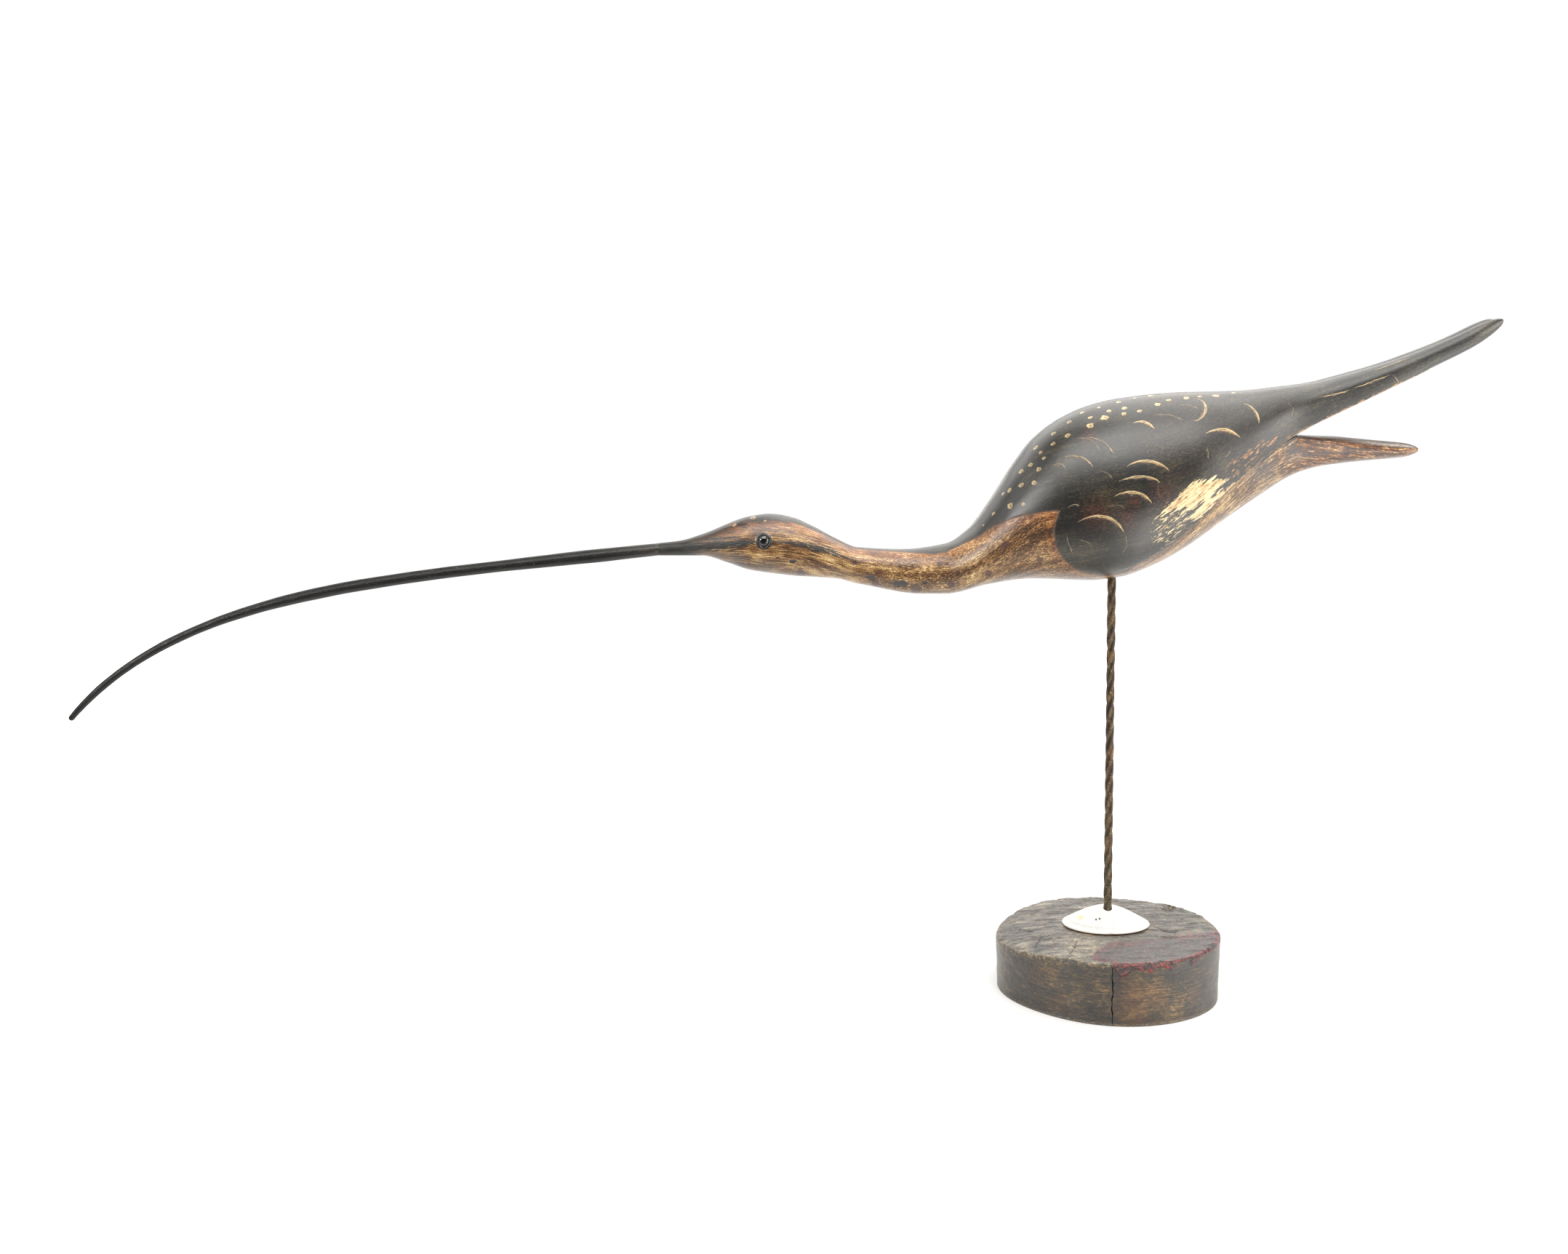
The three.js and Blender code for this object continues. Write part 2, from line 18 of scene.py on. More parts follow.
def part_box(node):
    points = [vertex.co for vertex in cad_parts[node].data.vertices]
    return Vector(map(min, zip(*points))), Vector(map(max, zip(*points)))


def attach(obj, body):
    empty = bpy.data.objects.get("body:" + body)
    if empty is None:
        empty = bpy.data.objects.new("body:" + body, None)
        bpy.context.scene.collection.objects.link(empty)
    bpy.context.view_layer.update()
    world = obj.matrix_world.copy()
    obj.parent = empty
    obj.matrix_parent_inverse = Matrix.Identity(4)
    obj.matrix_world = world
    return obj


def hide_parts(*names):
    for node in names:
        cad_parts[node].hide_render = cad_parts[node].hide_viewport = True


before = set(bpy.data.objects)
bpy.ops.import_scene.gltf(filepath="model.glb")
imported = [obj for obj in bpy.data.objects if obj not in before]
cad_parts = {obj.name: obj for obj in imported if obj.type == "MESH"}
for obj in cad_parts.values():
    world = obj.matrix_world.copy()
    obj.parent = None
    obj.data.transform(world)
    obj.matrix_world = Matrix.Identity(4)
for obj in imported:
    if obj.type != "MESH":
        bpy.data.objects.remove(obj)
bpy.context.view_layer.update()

bl_info = {
    "name": "Shorebird decoy",
    "version": (1, 0, 0),
    "blender": (4, 5, 0),
    "location": "3D View > Sidebar > Decoy",
    "description": "Builds a carved and painted curlew decoy with its iron leg, sea shell and wooden base",
    "category": "Add Mesh",
}

MM = 0.001
CRISP_FROM = math.radians(50)
SOCKET_GAP = 0.05 * MM

# Camera. It stands in front of the bird's side, looks slightly down and isn't turned.
FRAME_WIDE, FRAME_HIGH = 2156, 1724
FOCAL_PIXELS = 2500
AXIS_ACROSS, AXIS_DOWN = 1078, 686
CAMERA_PLACE = np.array([-0.1818, -1.003, 0.3464])
CAMERA_PITCH = math.radians(4)
CAMERA_AHEAD = np.array([0, math.cos(CAMERA_PITCH), -math.sin(CAMERA_PITCH)])
CAMERA_UP = np.array([0, math.sin(CAMERA_PITCH), math.cos(CAMERA_PITCH)])
PIXEL_SIZE = 0.4

# Proportions of the carving, as percent of its length. Along is counted from the leg towards the
# tail, and up from the belly.
HEAD_FRONT, BILL_UP = -54, 3.64
NOTCH, WINGS_PART, WING_TIP, TAIL_TIP = 20.9, 37, 45.55, 36.1
EDGE_FAR = 21.0  # How far off an edge counts as, where there is none
BILL_HALF = 0.742
BACK_LINE = (
    (HEAD_FRONT, BILL_UP + BILL_HALF), (-51.4, 4.69), (-48.8, 5.48), (-43.25, 7.57), (-40.7, 7.91),
    (-38.1, 7.48), (-35.5, 6.34), (-32.9, 4.97), (-30.3, 3.91), (-25, 3.66), (-19.9, 4.34),
    (-17.25, 6.0), (-14.7, 9.4), (-12.1, 13.55), (-9.5, 16.9), (-6.1, 19.42), (-2.6, 20.88),
    (0.8, 21.66), (7.7, 22.34), (14.6, 22.5), (NOTCH, 23.14),
)
BELLY_LINE = (
    (HEAD_FRONT, BILL_UP - BILL_HALF), (-48.8, 2.9), (-45.85, 2.09), (-43.25, 1.23), (-38, 0.52),
    (-32.9, 0.17), (-30.3, -0.45), (-22.5, -1.66), (-19.9, -1.66), (-14.7, -0.45), (-9.5, 0.2),
    (-2.6, 0), (0.84, 0.43), (4.3, 1.66), (7.74, 3.48), (14.6, 8.34), (NOTCH, 12.56),
)
WIDTH_LINE = (
    (HEAD_FRONT, BILL_HALF), (-48.8, 1.5), (-43.25, 2.55), (-39.4, 2.85), (-35.5, 2.62),
    (-30.3, 2.28), (-25, 2.37), (-19.9, 3.1), (-17.25, 4.0), (-12.1, 5.95), (-6.1, 7.55),
    (0.8, 8.28), (7.7, 7.75), (14.6, 6.1), (NOTCH, 3.95),
)
WIDEST_LINE = (
    (HEAD_FRONT, 0.5), (-40.7, 0.44), (-30.3, 0.5), (-9.5, 0.45), (2, 0.45), (7.7, 0.48),
    (14.6, 0.56), (18, 0.64), (NOTCH, 0.7287),
)
WING_EDGE_LINE = (
    (HEAD_FRONT, 0.12), (-6, 0.09), (-1, 0.052), (1.5, 0.067), (5, 0.106), (9, 0.185), (12, 0.275),
    (15.5, 0.372), (18.5, 0.432), (NOTCH, 0.4575),
)
WING_LINE = (
    (NOTCH, 20.27, 2.87, 3.95), (23.1, 21.03, 2.45, 3.6), (26.54, 22.27, 2.06, 3.2),
    (33.38, 24.92, 1.47, 2.6), (40.17, 27.9, 1.22, 1.95), (WING_TIP, 30.7, 1.15, 1.5),
)
TAIL_LINE = (
    (NOTCH, 14.97, 2.4, 3.4), (23.2, 15.3, 1.93, 3.15), (26.67, 15.5, 1.6, 2.85),
    (30.1, 15.5, 1.25, 2.6), (33.55, 15.5, 0.93, 2.2), (TAIL_TIP, 15.55, 0.71, 1.9),
)
WING_PROUD, WING_PROUD_FULL = 0.62, 16
NOTCH_START, NOTCH_MOUTH, GROOVE_START = 17.8, 0.32, 12
WING_TIP_ROUND, TAIL_TIP_ROUND, TIP_SPREAD, FAR_TIP_SHORT = 4, 2.4, 0.2, 0.4
FULLNESS = 2.1
FACES = SimpleNamespace(groove=6, flank=56, under_wing=7, tail_top=5, belly=26)

# What is painted on the carving, where it shows in the frame, in pixels. A stroke is its points, its
# half width in millimetres and its strength, which is below zero for dark paint.
FEATHER_STROKES = (
    (((1472, 605), (1492, 603), (1506, 611), (1513, 624)), 0.7, 0.45),
    (((1491, 602), (1514, 607), (1533, 627)), 0.9, 0.55),
    (((1455, 633), (1473, 628), (1492, 633), (1503, 645)), 1.2, 0.55),
    (((1443, 643), (1456, 639), (1466, 646)), 1.0, 0.4),
    (((1548, 643), (1571, 635), (1594, 639), (1608, 648)), 1.4, 0.95),
    (((1537, 663), (1560, 657), (1583, 658), (1595, 665)), 1.3, 0.75),
    (((1531, 683), (1552, 678), (1571, 682), (1584, 692)), 1.5, 0.85),
    (((1480, 719), (1506, 711), (1529, 716), (1546, 733)), 1.5, 0.85),
    (((1546, 733), (1548, 749), (1541, 763)), 0.6, 0.45),
    (((1557, 583), (1571, 581), (1588, 590)), 1.6, 0.9),
    (((1644, 547), (1656, 558), (1652, 572), (1640, 578)), 1.4, 0.85),
    (((1709, 555), (1722, 562), (1729, 574), (1731, 583)), 1.3, 0.95),
    (((1656, 597), (1682, 592), (1706, 602)), 1.6, 0.9),
    (((1583, 571), (1609, 572), (1629, 580)), 0.9, 0.4),
    (((1617, 557), (1635, 558), (1649, 563)), 0.8, 0.4),
    (((1573, 608), (1578, 616), (1575, 626)), 0.5, 0.5),
    (((1599, 610), (1598, 618), (1594, 625)), 0.5, 0.5),
    (((1659, 612), (1660, 622), (1661, 632)), 0.7, 0.45),
    (((1511, 647), (1521, 651), (1530, 659)), 0.8, 0.35),
    (((1467, 699), (1476, 695), (1486, 697)), 0.8, 0.35),
    (((1523, 697), (1535, 695), (1548, 699)), 0.6, 0.35),
    (((1481, 742), (1490, 744), (1500, 749)), 0.5, 0.6),
    (((1467, 733), (1468, 748), (1475, 762)), 1.1, 0.3),
    (((1768, 553), (1777, 562), (1774, 573)), 0.7, 0.4),
    (((1568, 597), (1578, 605), (1586, 618)), 0.5, 0.3),
    (((1592, 650), (1593, 678), (1600, 694)), 0.3, 0.35),
    (((1718, 580), (1713, 592), (1705, 606)), 0.4, 0.3),
    (((1812, 547), (1843, 541), (1858, 535)), 0.7, 0.8),
    (((1858, 535), (1886, 526), (1913, 515)), 0.7, 0.75),
    (((1910, 513), (1919, 520), (1924, 531)), 0.5, 0.7),
    (((1885, 510), (1908, 503), (1940, 491)), 0.6, 0.75),
    (((1693, 618), (1689, 623), (1684, 629)), 0.6, 0.5),
    (((1335, 730), (1341, 724), (1345, 718)), 0.5, 0.6),
)
DARK_STROKES = (
    (((890, 752), (960, 752), (1048, 744)), 2.6, -0.8),
    (((1056, 742), (1085, 747), (1122, 754), (1158, 770)), 1.7, -0.6),
    (((905, 758), (950, 763), (985, 768)), 2.0, -0.65),
    (((1104, 748), (1140, 756), (1172, 772)), 1.6, -0.55),
    (((935, 738), (985, 741), (1032, 735)), 0.9, -0.5),
    (((1645, 702), (1660, 693), (1677, 680), (1692, 666)), 0.55, -0.95),
    (((1689, 668), (1700, 656), (1722, 641), (1755, 620)), 0.6, -0.95),
    (((1641, 703), (1652, 690), (1667, 675)), 0.4, -0.9),
    (((1645, 714), (1662, 700), (1672, 690), (1684, 680)), 0.6, -0.95),
)
# A spot is its middle, its half length and half height in millimetres and its strength
DOTS = tuple((place, size * 1.2, size, 0.95 if place[0] > 1475 else 0.6) for place, size in (
    ((1519, 574), 1.8), ((1499, 585), 1.6), ((1499, 574), 1.1), ((1525, 565), 1.1), ((1546, 561), 1.2),
    ((1545, 569), 1.1), ((1511, 560), 0.9), ((1538, 553), 1.2), ((1488, 567), 1.1), ((1470, 580), 1.2),
    ((1468, 599), 1.4), ((1448, 596), 1.2), ((1448, 610), 1.1), ((1424, 615), 1.3), ((1431, 622), 1.0),
    ((1435, 630), 0.9), ((1417, 639), 1.2), ((1404, 648), 1.4), ((1428, 645), 1.2), ((1404, 667), 1.3),
    ((1422, 664), 1.2), ((1389, 695), 1.5), ((1407, 693), 0.9), ((1379, 679), 1.1), ((1567, 565), 1.1),
    ((1592, 556), 1.3), ((1582, 544), 1.4), ((1607, 550), 1.1), ((1605, 540), 1.1), ((1631, 547), 1.4),
    ((1672, 544), 1.6), ((1650, 545), 1.0), ((1388, 674), 1.3), ((1358, 693), 0.8), ((1366, 706), 0.9),
    ((1696, 540), 1.0), ((1372, 664), 0.9), ((1390, 642), 0.9), ((1461, 570), 0.9), ((1444, 583), 0.9),
    ((1345, 708), 0.7), ((1625, 536), 0.9), ((1560, 547), 0.9), ((1519, 551), 0.8), ((1352, 722), 0.6),
    ((1062, 704), 1.0), ((1035, 712), 1.3), ((1113, 711), 0.9), ((1052, 716), 0.6), ((1010, 722), 1.1),
))
CHIPS = (
    ((1239, 803), 4.4, 2.4, -1.0), ((1197, 795), 3.2, 1.7, -0.95), ((1271, 801), 2.1, 1.0, -0.9),
    ((1090, 772), 2.2, 1.1, -0.95), ((1069, 767), 1.3, 0.6, -0.9), ((1175, 774), 1.3, 0.9, -0.9),
    ((1302, 776), 1.1, 0.6, -0.8), ((1851, 625), 1.4, 1.1, -0.8), ((1143, 789), 1.2, 0.7, -0.7),
    ((1332, 806), 1.0, 0.5, -0.6),
)
# Stains are soft: red underpaint, purple spots and grey mottling
RED_STAINS = (((1510, 706), 8), ((1550, 712), 6), ((1600, 680), 6), ((1497, 600), 4), ((1560, 690), 4))
PURPLE_STAINS = (
    ((1382, 749), 2.2), ((1292, 775), 1.8), ((1101, 787), 2.2), ((1237, 777), 1.5), ((1359, 788), 2.0),
    ((1308, 804), 2.2), ((1203, 802), 2.2), ((1258, 810), 3.0), ((1430, 770), 2.0), ((1850, 622), 3.0),
    ((1792, 626), 1.5), ((1822, 628), 1.2),
)
GREY_STAINS = (
    ((985, 768), 6), ((1012, 768), 5), ((1054, 786), 5), ((962, 762), 6), ((1738, 648), 9),
    ((1780, 618), 6),
)

# Outlines of areas, as corners in the same pixels
DARK_AREA = (
    (800, 800), (948, 800), (948, 765), (952, 752), (961, 742), (976, 736), (1000, 727), (1030, 719),
    (1061, 716), (1091, 718), (1114, 726), (1145, 740), (1168, 751), (1183, 755), (1206, 757),
    (1244, 759), (1283, 762), (1302, 759), (1326, 747), (1347, 737), (1364, 724), (1378, 718),
    (1397, 711), (1415, 706), (1434, 704), (1457, 702), (1451, 718), (1449, 731), (1451, 747),
    (1457, 761), (1467, 773), (1479, 783), (1497, 789), (1519, 791), (1538, 789), (1561, 784),
    (1584, 771), (1607, 753), (1650, 719), (1705, 663), (1745, 632), (1800, 620), (1800, 300),
    (800, 300),
)
WORN_AREAS = (
    ((1597, 704), (1608, 692), (1620, 684), (1626, 676), (1640, 667), (1646, 662), (1658, 661),
     (1671, 659), (1686, 658), (1682, 666), (1673, 671), (1667, 677), (1659, 686), (1648, 696),
     (1640, 703), (1630, 694), (1616, 699), (1604, 704)),
    ((1638, 708), (1660, 689), (1680, 675), (1695, 664), (1697, 668), (1684, 681), (1668, 695),
     (1650, 710), (1642, 714)),
)
SCRATCH_TILT = 38
STROKE_SHARE, MARK_FAR, FAR_SIDE_DRIFT = 0.96, 50.0, 1.2

# Where the paint changes, from and to, in millimetres along the bird from its leg
BREAST_FRONT, BREAST_BACK, NECK_FRONT, NECK_BACK = (-80, -55), (20, 0), (-168, -140), (-72, -98)
HEAD_PAINT, FACE_PAINT, HEAD_LINES, BILL_BLEND = (-110, -150), (-150, -175), (-190, -220), (-212, -250)
DULL_FRONT, THIN_COAT, FLANK_SMEARS = (-215, -250), (-214, -246), (20, 45)
RUBBED_EDGE, TAIL_PAINT = (60, 110), (84, 106)
# How near the dark paint the glaze is laid thick, in millimetres outside it
THICK_BY_DARK = (-9, -0.5)
FLECK_AREA = (
    (1582, 732), (1588, 712), (1594, 702), (1612, 697), (1640, 703), (1660, 699), (1650, 716),
    (1620, 738), (1598, 752), (1588, 748),
)
SCRATCH_AREA = (
    (1674, 664), (1682, 646), (1704, 626), (1740, 604), (1768, 596), (1776, 600), (1752, 618),
    (1722, 642), (1696, 664),
)

SHELL_SPECKS, SHELL_STAIN = ((1507, 1264), (1512, 1263)), (1485, 1261)

# Base, in millimetres and degrees round from the tail side
BASE_LEFT_DROP, BASE_RIGHT_RISE, BASE_EDGE = 5.5, 1.5, 2
BASE_FLATS = ((-138, 3, 6), (3, 1.6, 16))
SPLIT_AT, SPLIT_HALF, SPLIT_DEPTH = -97.4, 0.24, 2.4
VARNISH_AREA = (
    (1503, 1318), (1503, 1311), (1510, 1304), (1526, 1297), (1548, 1294), (1576, 1292), (1611, 1287),
    (1647, 1283), (1680, 1278), (1681, 1294), (1674, 1306), (1655, 1314), (1640, 1328), (1634, 1319),
    (1618, 1325), (1611, 1335), (1604, 1330), (1591, 1331), (1584, 1339), (1576, 1334), (1557, 1335),
    (1550, 1342), (1540, 1346), (1533, 1335), (1529, 1323),
)
OCHRE_PATCHES = (
    ((1408, 1307), 4), ((1515, 1340), 3), ((1519, 1358), 9), ((1557, 1365), 13), ((1600, 1362), 11),
    ((1560, 1395), 10), ((1640, 1370), 6), ((1470, 1370), 10), ((1440, 1345), 7), ((1480, 1300), 9),
    ((1500, 1296), 9), ((1620, 1385), 7),
)
KNOTS = (((1607, 1247), 3.2, 2.6), ((1438, 1291), 2.6, 0.7), ((1478, 1294), 1.2, 0.8))
TOP_CRACKS = (
    ((1432, 1287), (1429, 1293), (1423, 1302)), ((1481, 1291), (1478, 1300), (1471, 1311)),
    ((1375, 1282), (1395, 1277), (1420, 1279)), ((1586, 1272), (1600, 1278), (1615, 1280)),
)


def length(name, size, description):
    """A setting that is a length, given in millimetres."""
    return FloatProperty(name=name, description=description, default=size * MM, min=0.0,
                         subtype="DISTANCE", unit="LENGTH", precision=5)


def linear(*shades):
    """Red, green and blue from 0 to 255 as they look on a screen, as light."""
    return tuple((s / 255 / 12.92) if s <= 10 else ((s / 255 + 0.055) / 1.055) ** 2.4 for s in shades)


def colour(name, shades, description):
    """A setting that is a colour, given as it looks on a screen."""
    return FloatVectorProperty(name=name, description=description, default=linear(*shades), size=3,
                               min=0.0, max=1.0, subtype="COLOR")


class DecoyBirdSettings(bpy.types.PropertyGroup):
    """Sizes and paints of the carved bird"""

    carving: length("Carving length", 465, "Length of the carving from the head's front to the wing tips")
    belly: length("Belly height", 231.4, "Height of the belly's lowest point over the leg")
    chip_depth: length("Chip depth", 0.3, "How deep the paint is chipped")
    ring_height: length("Eye ring height", 0.55, "How proud the putty ring round each eye stands")
    dark: colour("Dark paint", (24, 24, 22), "Paint of the crown, back and wings")
    worn_dark: colour("Rubbed dark paint", (58, 53, 40), "Dark paint where brushing thinned it")
    red: colour("Red underpaint", (104, 46, 24), "Underpaint that shows through the dark paint")
    glaze: colour("Brown glaze", (80, 49, 24), "Glaze in the brush strokes of the face, breast and tail")
    rich: colour("Rich glaze", (128, 70, 26), "Glaze laid thick beside the dark paint")
    ochre: colour("Ochre paint", (170, 124, 70), "Paint of the face, breast and tail under the glaze")
    cream: colour("Cream paint", (242, 216, 158), "Paint of the highlights, dots and feather strokes")
    tan: colour("Tan paint", (176, 132, 76), "Paint of the surfaces that face down")


class DecoyBillSettings(bpy.types.PropertyGroup):
    """Sizes and paint of the bill"""

    reach: length("Bill length", 350.5, "Length of the bill along its curve")
    root: length("Root diameter", 6.9, "Diameter where the bill meets the head")
    full: length("Full diameter", 7.5, "Largest diameter, a little in front of the root")
    tip: length("Tip diameter", 3.4, "Diameter at the tip")
    tenon: length("Tenon diameter", 4.2, "Diameter of the tenon in the head")
    tenon_reach: length("Tenon length", 16, "Length of the tenon in the head")
    paint: colour("Bill paint", (14, 14, 15), "Paint of the bill")
    rubbed: colour("Rubbed bill paint", (46, 43, 39), "Bill paint where the wood's grain is rubbed")


class DecoyEyeSettings(bpy.types.PropertyGroup):
    """Look of the glass eyes"""

    pupil: length("Pupil diameter", 3.9, "Diameter of the black pupil behind the glass")
    black: colour("Pupil", (6, 5, 5), "Colour of the pupil")
    iris: colour("Iris", (78, 72, 66), "Colour of the ring round the pupil")


class DecoyLegSettings(bpy.types.PropertyGroup):
    """Sizes and rust of the twisted iron leg"""

    thickness: length("Thickness", 4, "Thickness of the square bar")
    corner: length("Corner radius", 1.087, "Radius of the bar's worn corners")
    turn: length("Length of a turn", 41, "Height in which the bar turns once")
    in_base: length("Length in the base", 25, "How deep the bar stands in the base")
    in_body: length("Length in the body", 25, "How far the bar reaches up into the bird")
    # The iron colour goes on the twist's corners and the groove colour on its flats, which also paints the
    # twist's highlights and shade
    iron: colour("Iron", (92, 74, 55), "Rusty iron")
    grooves: colour("Grooves", (34, 29, 26), "Iron in the hollows of the twist")
    flakes: colour("Flakes", (186, 158, 116), "Flakes of old paint and dry rust")


class DecoyShellSettings(bpy.types.PropertyGroup):
    """Sizes and colours of the sea shell"""

    wide: length("Width", 49, "Width of the valve across the bird")
    deep: length("Depth", 40, "Depth of the valve from front to back")
    high: length("Height", 12, "Height of the crown over the margin")
    wall: length("Wall", 1.4, "Thickness of the shell")
    ribs: IntProperty(name="Ribs", description="Number of fine ribs round the valve", default=118, min=8)
    rib_depth: length("Rib depth", 0.16, "How proud each rib stands")
    white: colour("White", (232, 232, 229), "Colour of the ribs")
    # The grooves' colour is painted shade between the ribs
    shade: colour("Grooves", (168, 167, 160), "Colour between the ribs")
    stain: colour("Margin stain", (150, 105, 60), "Brown line under the margin")


class DecoyBaseSettings(bpy.types.PropertyGroup):
    """Sizes and colours of the wooden base"""

    diameter: length("Diameter", 125.5, "Diameter of the slice of wood")
    thickness: length("Thickness", 34.5, "Height of the level part of the top")
    rough: length("Roughness of the top", 0.9, "How deep the torn grain of the top is")
    paint: colour("Dark paint", (40, 38, 36), "Old dark paint")
    grey: colour("Weathered grey", (104, 98, 90), "Weathered paint of the top")
    wood: colour("Ochre wood", (172, 136, 88), "Wood where the paint is rubbed off")
    brown: colour("Brown wood", (104, 62, 32), "Stained wood of the side")
    red: colour("Red paint", (150, 32, 30), "Spilt red paint under the varnish")
    varnish: colour("Spilt varnish", (38, 30, 30), "Dark glossy spill on the top")


class DecoyStageSettings(bpy.types.PropertyGroup):
    """The plain floor and the studio light"""

    floor: length("Floor size", 2800, "Width of the floor")
    floor_behind: length("Floor behind", 1300, "How far the floor goes on behind the decoy")
    pale: colour("Floor colour", (214, 214, 214), "Colour of the floor")
    warmth: colour("Light colour", (255, 253, 249), "Colour of the studio lights")
    air: FloatProperty(name="Surrounding light", description="Strength of the light from all round",
                       default=0.1, min=0.0)
    lift: FloatProperty(name="Floor lift", description="How much brighter the camera sees the floor",
                        default=0.26, min=0.0)


SETTINGS = {
    "decoy_bird": DecoyBirdSettings, "decoy_bill": DecoyBillSettings, "decoy_eye": DecoyEyeSettings,
    "decoy_leg": DecoyLegSettings, "decoy_shell": DecoyShellSettings, "decoy_base": DecoyBaseSettings,
    "decoy_stage": DecoyStageSettings,
}


# Small tools for numbers
def ramp(value, start, end):
    return np.clip((value - start) / (end - start), 0, 1)


def soft(value, start, end):
    t = ramp(value, start, end)
    return t * t * (3 - 2 * t)


def mix(a, b, share):
    return a + (b - a) * share


def round_end(value, tip, reach):
    return np.sqrt(1 - ramp(value, tip - reach, tip) ** 2)


def power(value):
    return np.maximum(value, 0) ** (2 / FULLNESS)


def unpower(value):
    return np.arcsin(np.clip(value, 0, 1) ** (FULLNESS / 2))


def smooth_line(points, column=1):
    """A smooth line through given points that never swings past them."""
    x = np.array([p[0] for p in points], float)
    y = np.array([p[column] for p in points], float)
    rises = np.diff(y) / np.diff(x)
    product = rises[:-1] * rises[1:]
    both = np.where(product > 0, rises[:-1] + rises[1:], 1)
    slopes = np.concatenate([rises[:1], np.where(product > 0, 2 * product / both, 0), rises[-1:]])

    def at(along):
        i = np.clip(np.searchsorted(x, along, side="right") - 1, 0, len(x) - 2)
        width = x[i + 1] - x[i]
        t = np.clip((along - x[i]) / width, 0, 1)
        fade = t * t * (3 - 2 * t)
        return (y[i] * (1 - fade) + y[i + 1] * fade
                + width * t * (1 - t) * (slopes[i] * (1 - t) - slopes[i + 1] * t))

    return at


def bumps(points, size, seed, detail=3):
    """Noise from about -1 to 1 at each point, in hollows and swells of the size, all in metres."""
    shift = Vector((seed * 7.3, seed * 3.1, seed * 5.7))
    return np.array([noise.fractal(Vector(p) / size + shift, 0.9, 2.0, detail) for p in points.tolist()])


# Small tools for the frame's pixels
def seen(points):
    """Where points, in metres, show in the frame, in pixels."""
    away = points - CAMERA_PLACE
    depth = away @ CAMERA_AHEAD
    return np.stack([AXIS_ACROSS + FOCAL_PIXELS * away[:, 0] / depth,
                     AXIS_DOWN - FOCAL_PIXELS * (away @ CAMERA_UP) / depth], axis=1)


def sight(pixel):
    """The direction from the camera through a pixel."""
    across = (pixel[0] - AXIS_ACROSS) / FOCAL_PIXELS
    up = (AXIS_DOWN - pixel[1]) / FOCAL_PIXELS
    return Vector(CAMERA_AHEAD + CAMERA_UP * up) + Vector((across, 0, 0))


def touch(tree, pixel):
    """The point of a surface that shows at a pixel, or the nearest one, and the normal there."""
    direction = sight(pixel).normalized()
    origin = Vector(CAMERA_PLACE)
    place, normal = tree.ray_cast(origin, direction)[:2]
    if place is None:
        place, normal = tree.find_nearest(origin + direction * (-origin.y / direction.y))[:2]
    return place, normal


def inside_by(pixels, corners):
    """How far inside an outline each pixel place is, in millimetres, and below zero outside it."""
    ends = np.array(corners, float)
    far = np.full(len(pixels), 1e9)
    within = np.zeros(len(pixels), bool)
    for a, b in zip(ends, np.roll(ends, -1, axis=0)):
        edge = b - a
        away = pixels - a
        share = np.clip(away @ edge / (edge @ edge), 0, 1)
        far = np.minimum(far, np.linalg.norm(away - share[:, None] * edge, axis=1))
        if a[1] != b[1]:
            crosses = (a[1] > pixels[:, 1]) != (b[1] > pixels[:, 1])
            within ^= crosses & (pixels[:, 0] < edge[0] * (pixels[:, 1] - a[1]) / edge[1] + a[0])
    return np.where(within, far, -far) * PIXEL_SIZE


def stains(pixels, spots):
    """Soft blots, each with its middle in pixels and its reach in millimetres."""
    total = np.zeros(len(pixels))
    for middle, reach in spots:
        far = np.linalg.norm(pixels - middle, axis=1) * PIXEL_SIZE
        total = np.maximum(total, np.exp(-(far / reach) ** 2))
    return total


# Small tools for meshes
def made(name, points, faces):
    """A mesh object with doubles merged, faces pointing out and smooth shading."""
    mesh = bpy.data.meshes.new(name)
    mesh.from_pydata([tuple(p) for p in points], [], faces)
    shell = bmesh.new()
    shell.from_mesh(mesh)
    bmesh.ops.remove_doubles(shell, verts=shell.verts, dist=2e-6)
    bmesh.ops.dissolve_degenerate(shell, edges=shell.edges, dist=1e-6)
    bmesh.ops.recalc_face_normals(shell, faces=shell.faces)
    shell.to_mesh(mesh)
    shell.free()
    mesh.shade_smooth()
    piece = bpy.data.objects.new(name, mesh)
    bpy.context.scene.collection.objects.link(piece)
    return piece


def grid_faces(start, rows, columns, closed=False):
    """Quads over a grid of points that is numbered from start, row by row."""
    across = columns if closed else columns - 1
    return [(start + r * columns + c, start + r * columns + (c + 1) % columns,
             start + (r + 1) * columns + (c + 1) % columns, start + (r + 1) * columns + c)
            for r in range(rows - 1) for c in range(across)]


def lofted(name, rings):
    """A closed body through rings of as many points, each with a fan over its ends."""
    rows, columns = rings.shape[:2]
    points = [*rings.reshape(-1, 3), rings[0].mean(0), rings[-1].mean(0)]
    faces = grid_faces(0, rows, columns, closed=True)
    last = (rows - 1) * columns
    for c in range(columns):
        faces.append(((c + 1) % columns, c, rows * columns))
        faces.append((last + c, last + (c + 1) % columns, rows * columns + 1))
    return made(name, points, faces)


def rod(place, direction, radius, reach, sides=48):
    """A plain round bar, for cutting holes, centred at a place."""
    turn = Vector(direction).to_track_quat("Z", "Y").to_matrix().to_4x4()
    shell = bmesh.new()
    bmesh.ops.create_cone(shell, cap_ends=True, segments=sides, radius1=radius, radius2=radius,
                          depth=reach, matrix=Matrix.Translation(place) @ turn)
    return shell


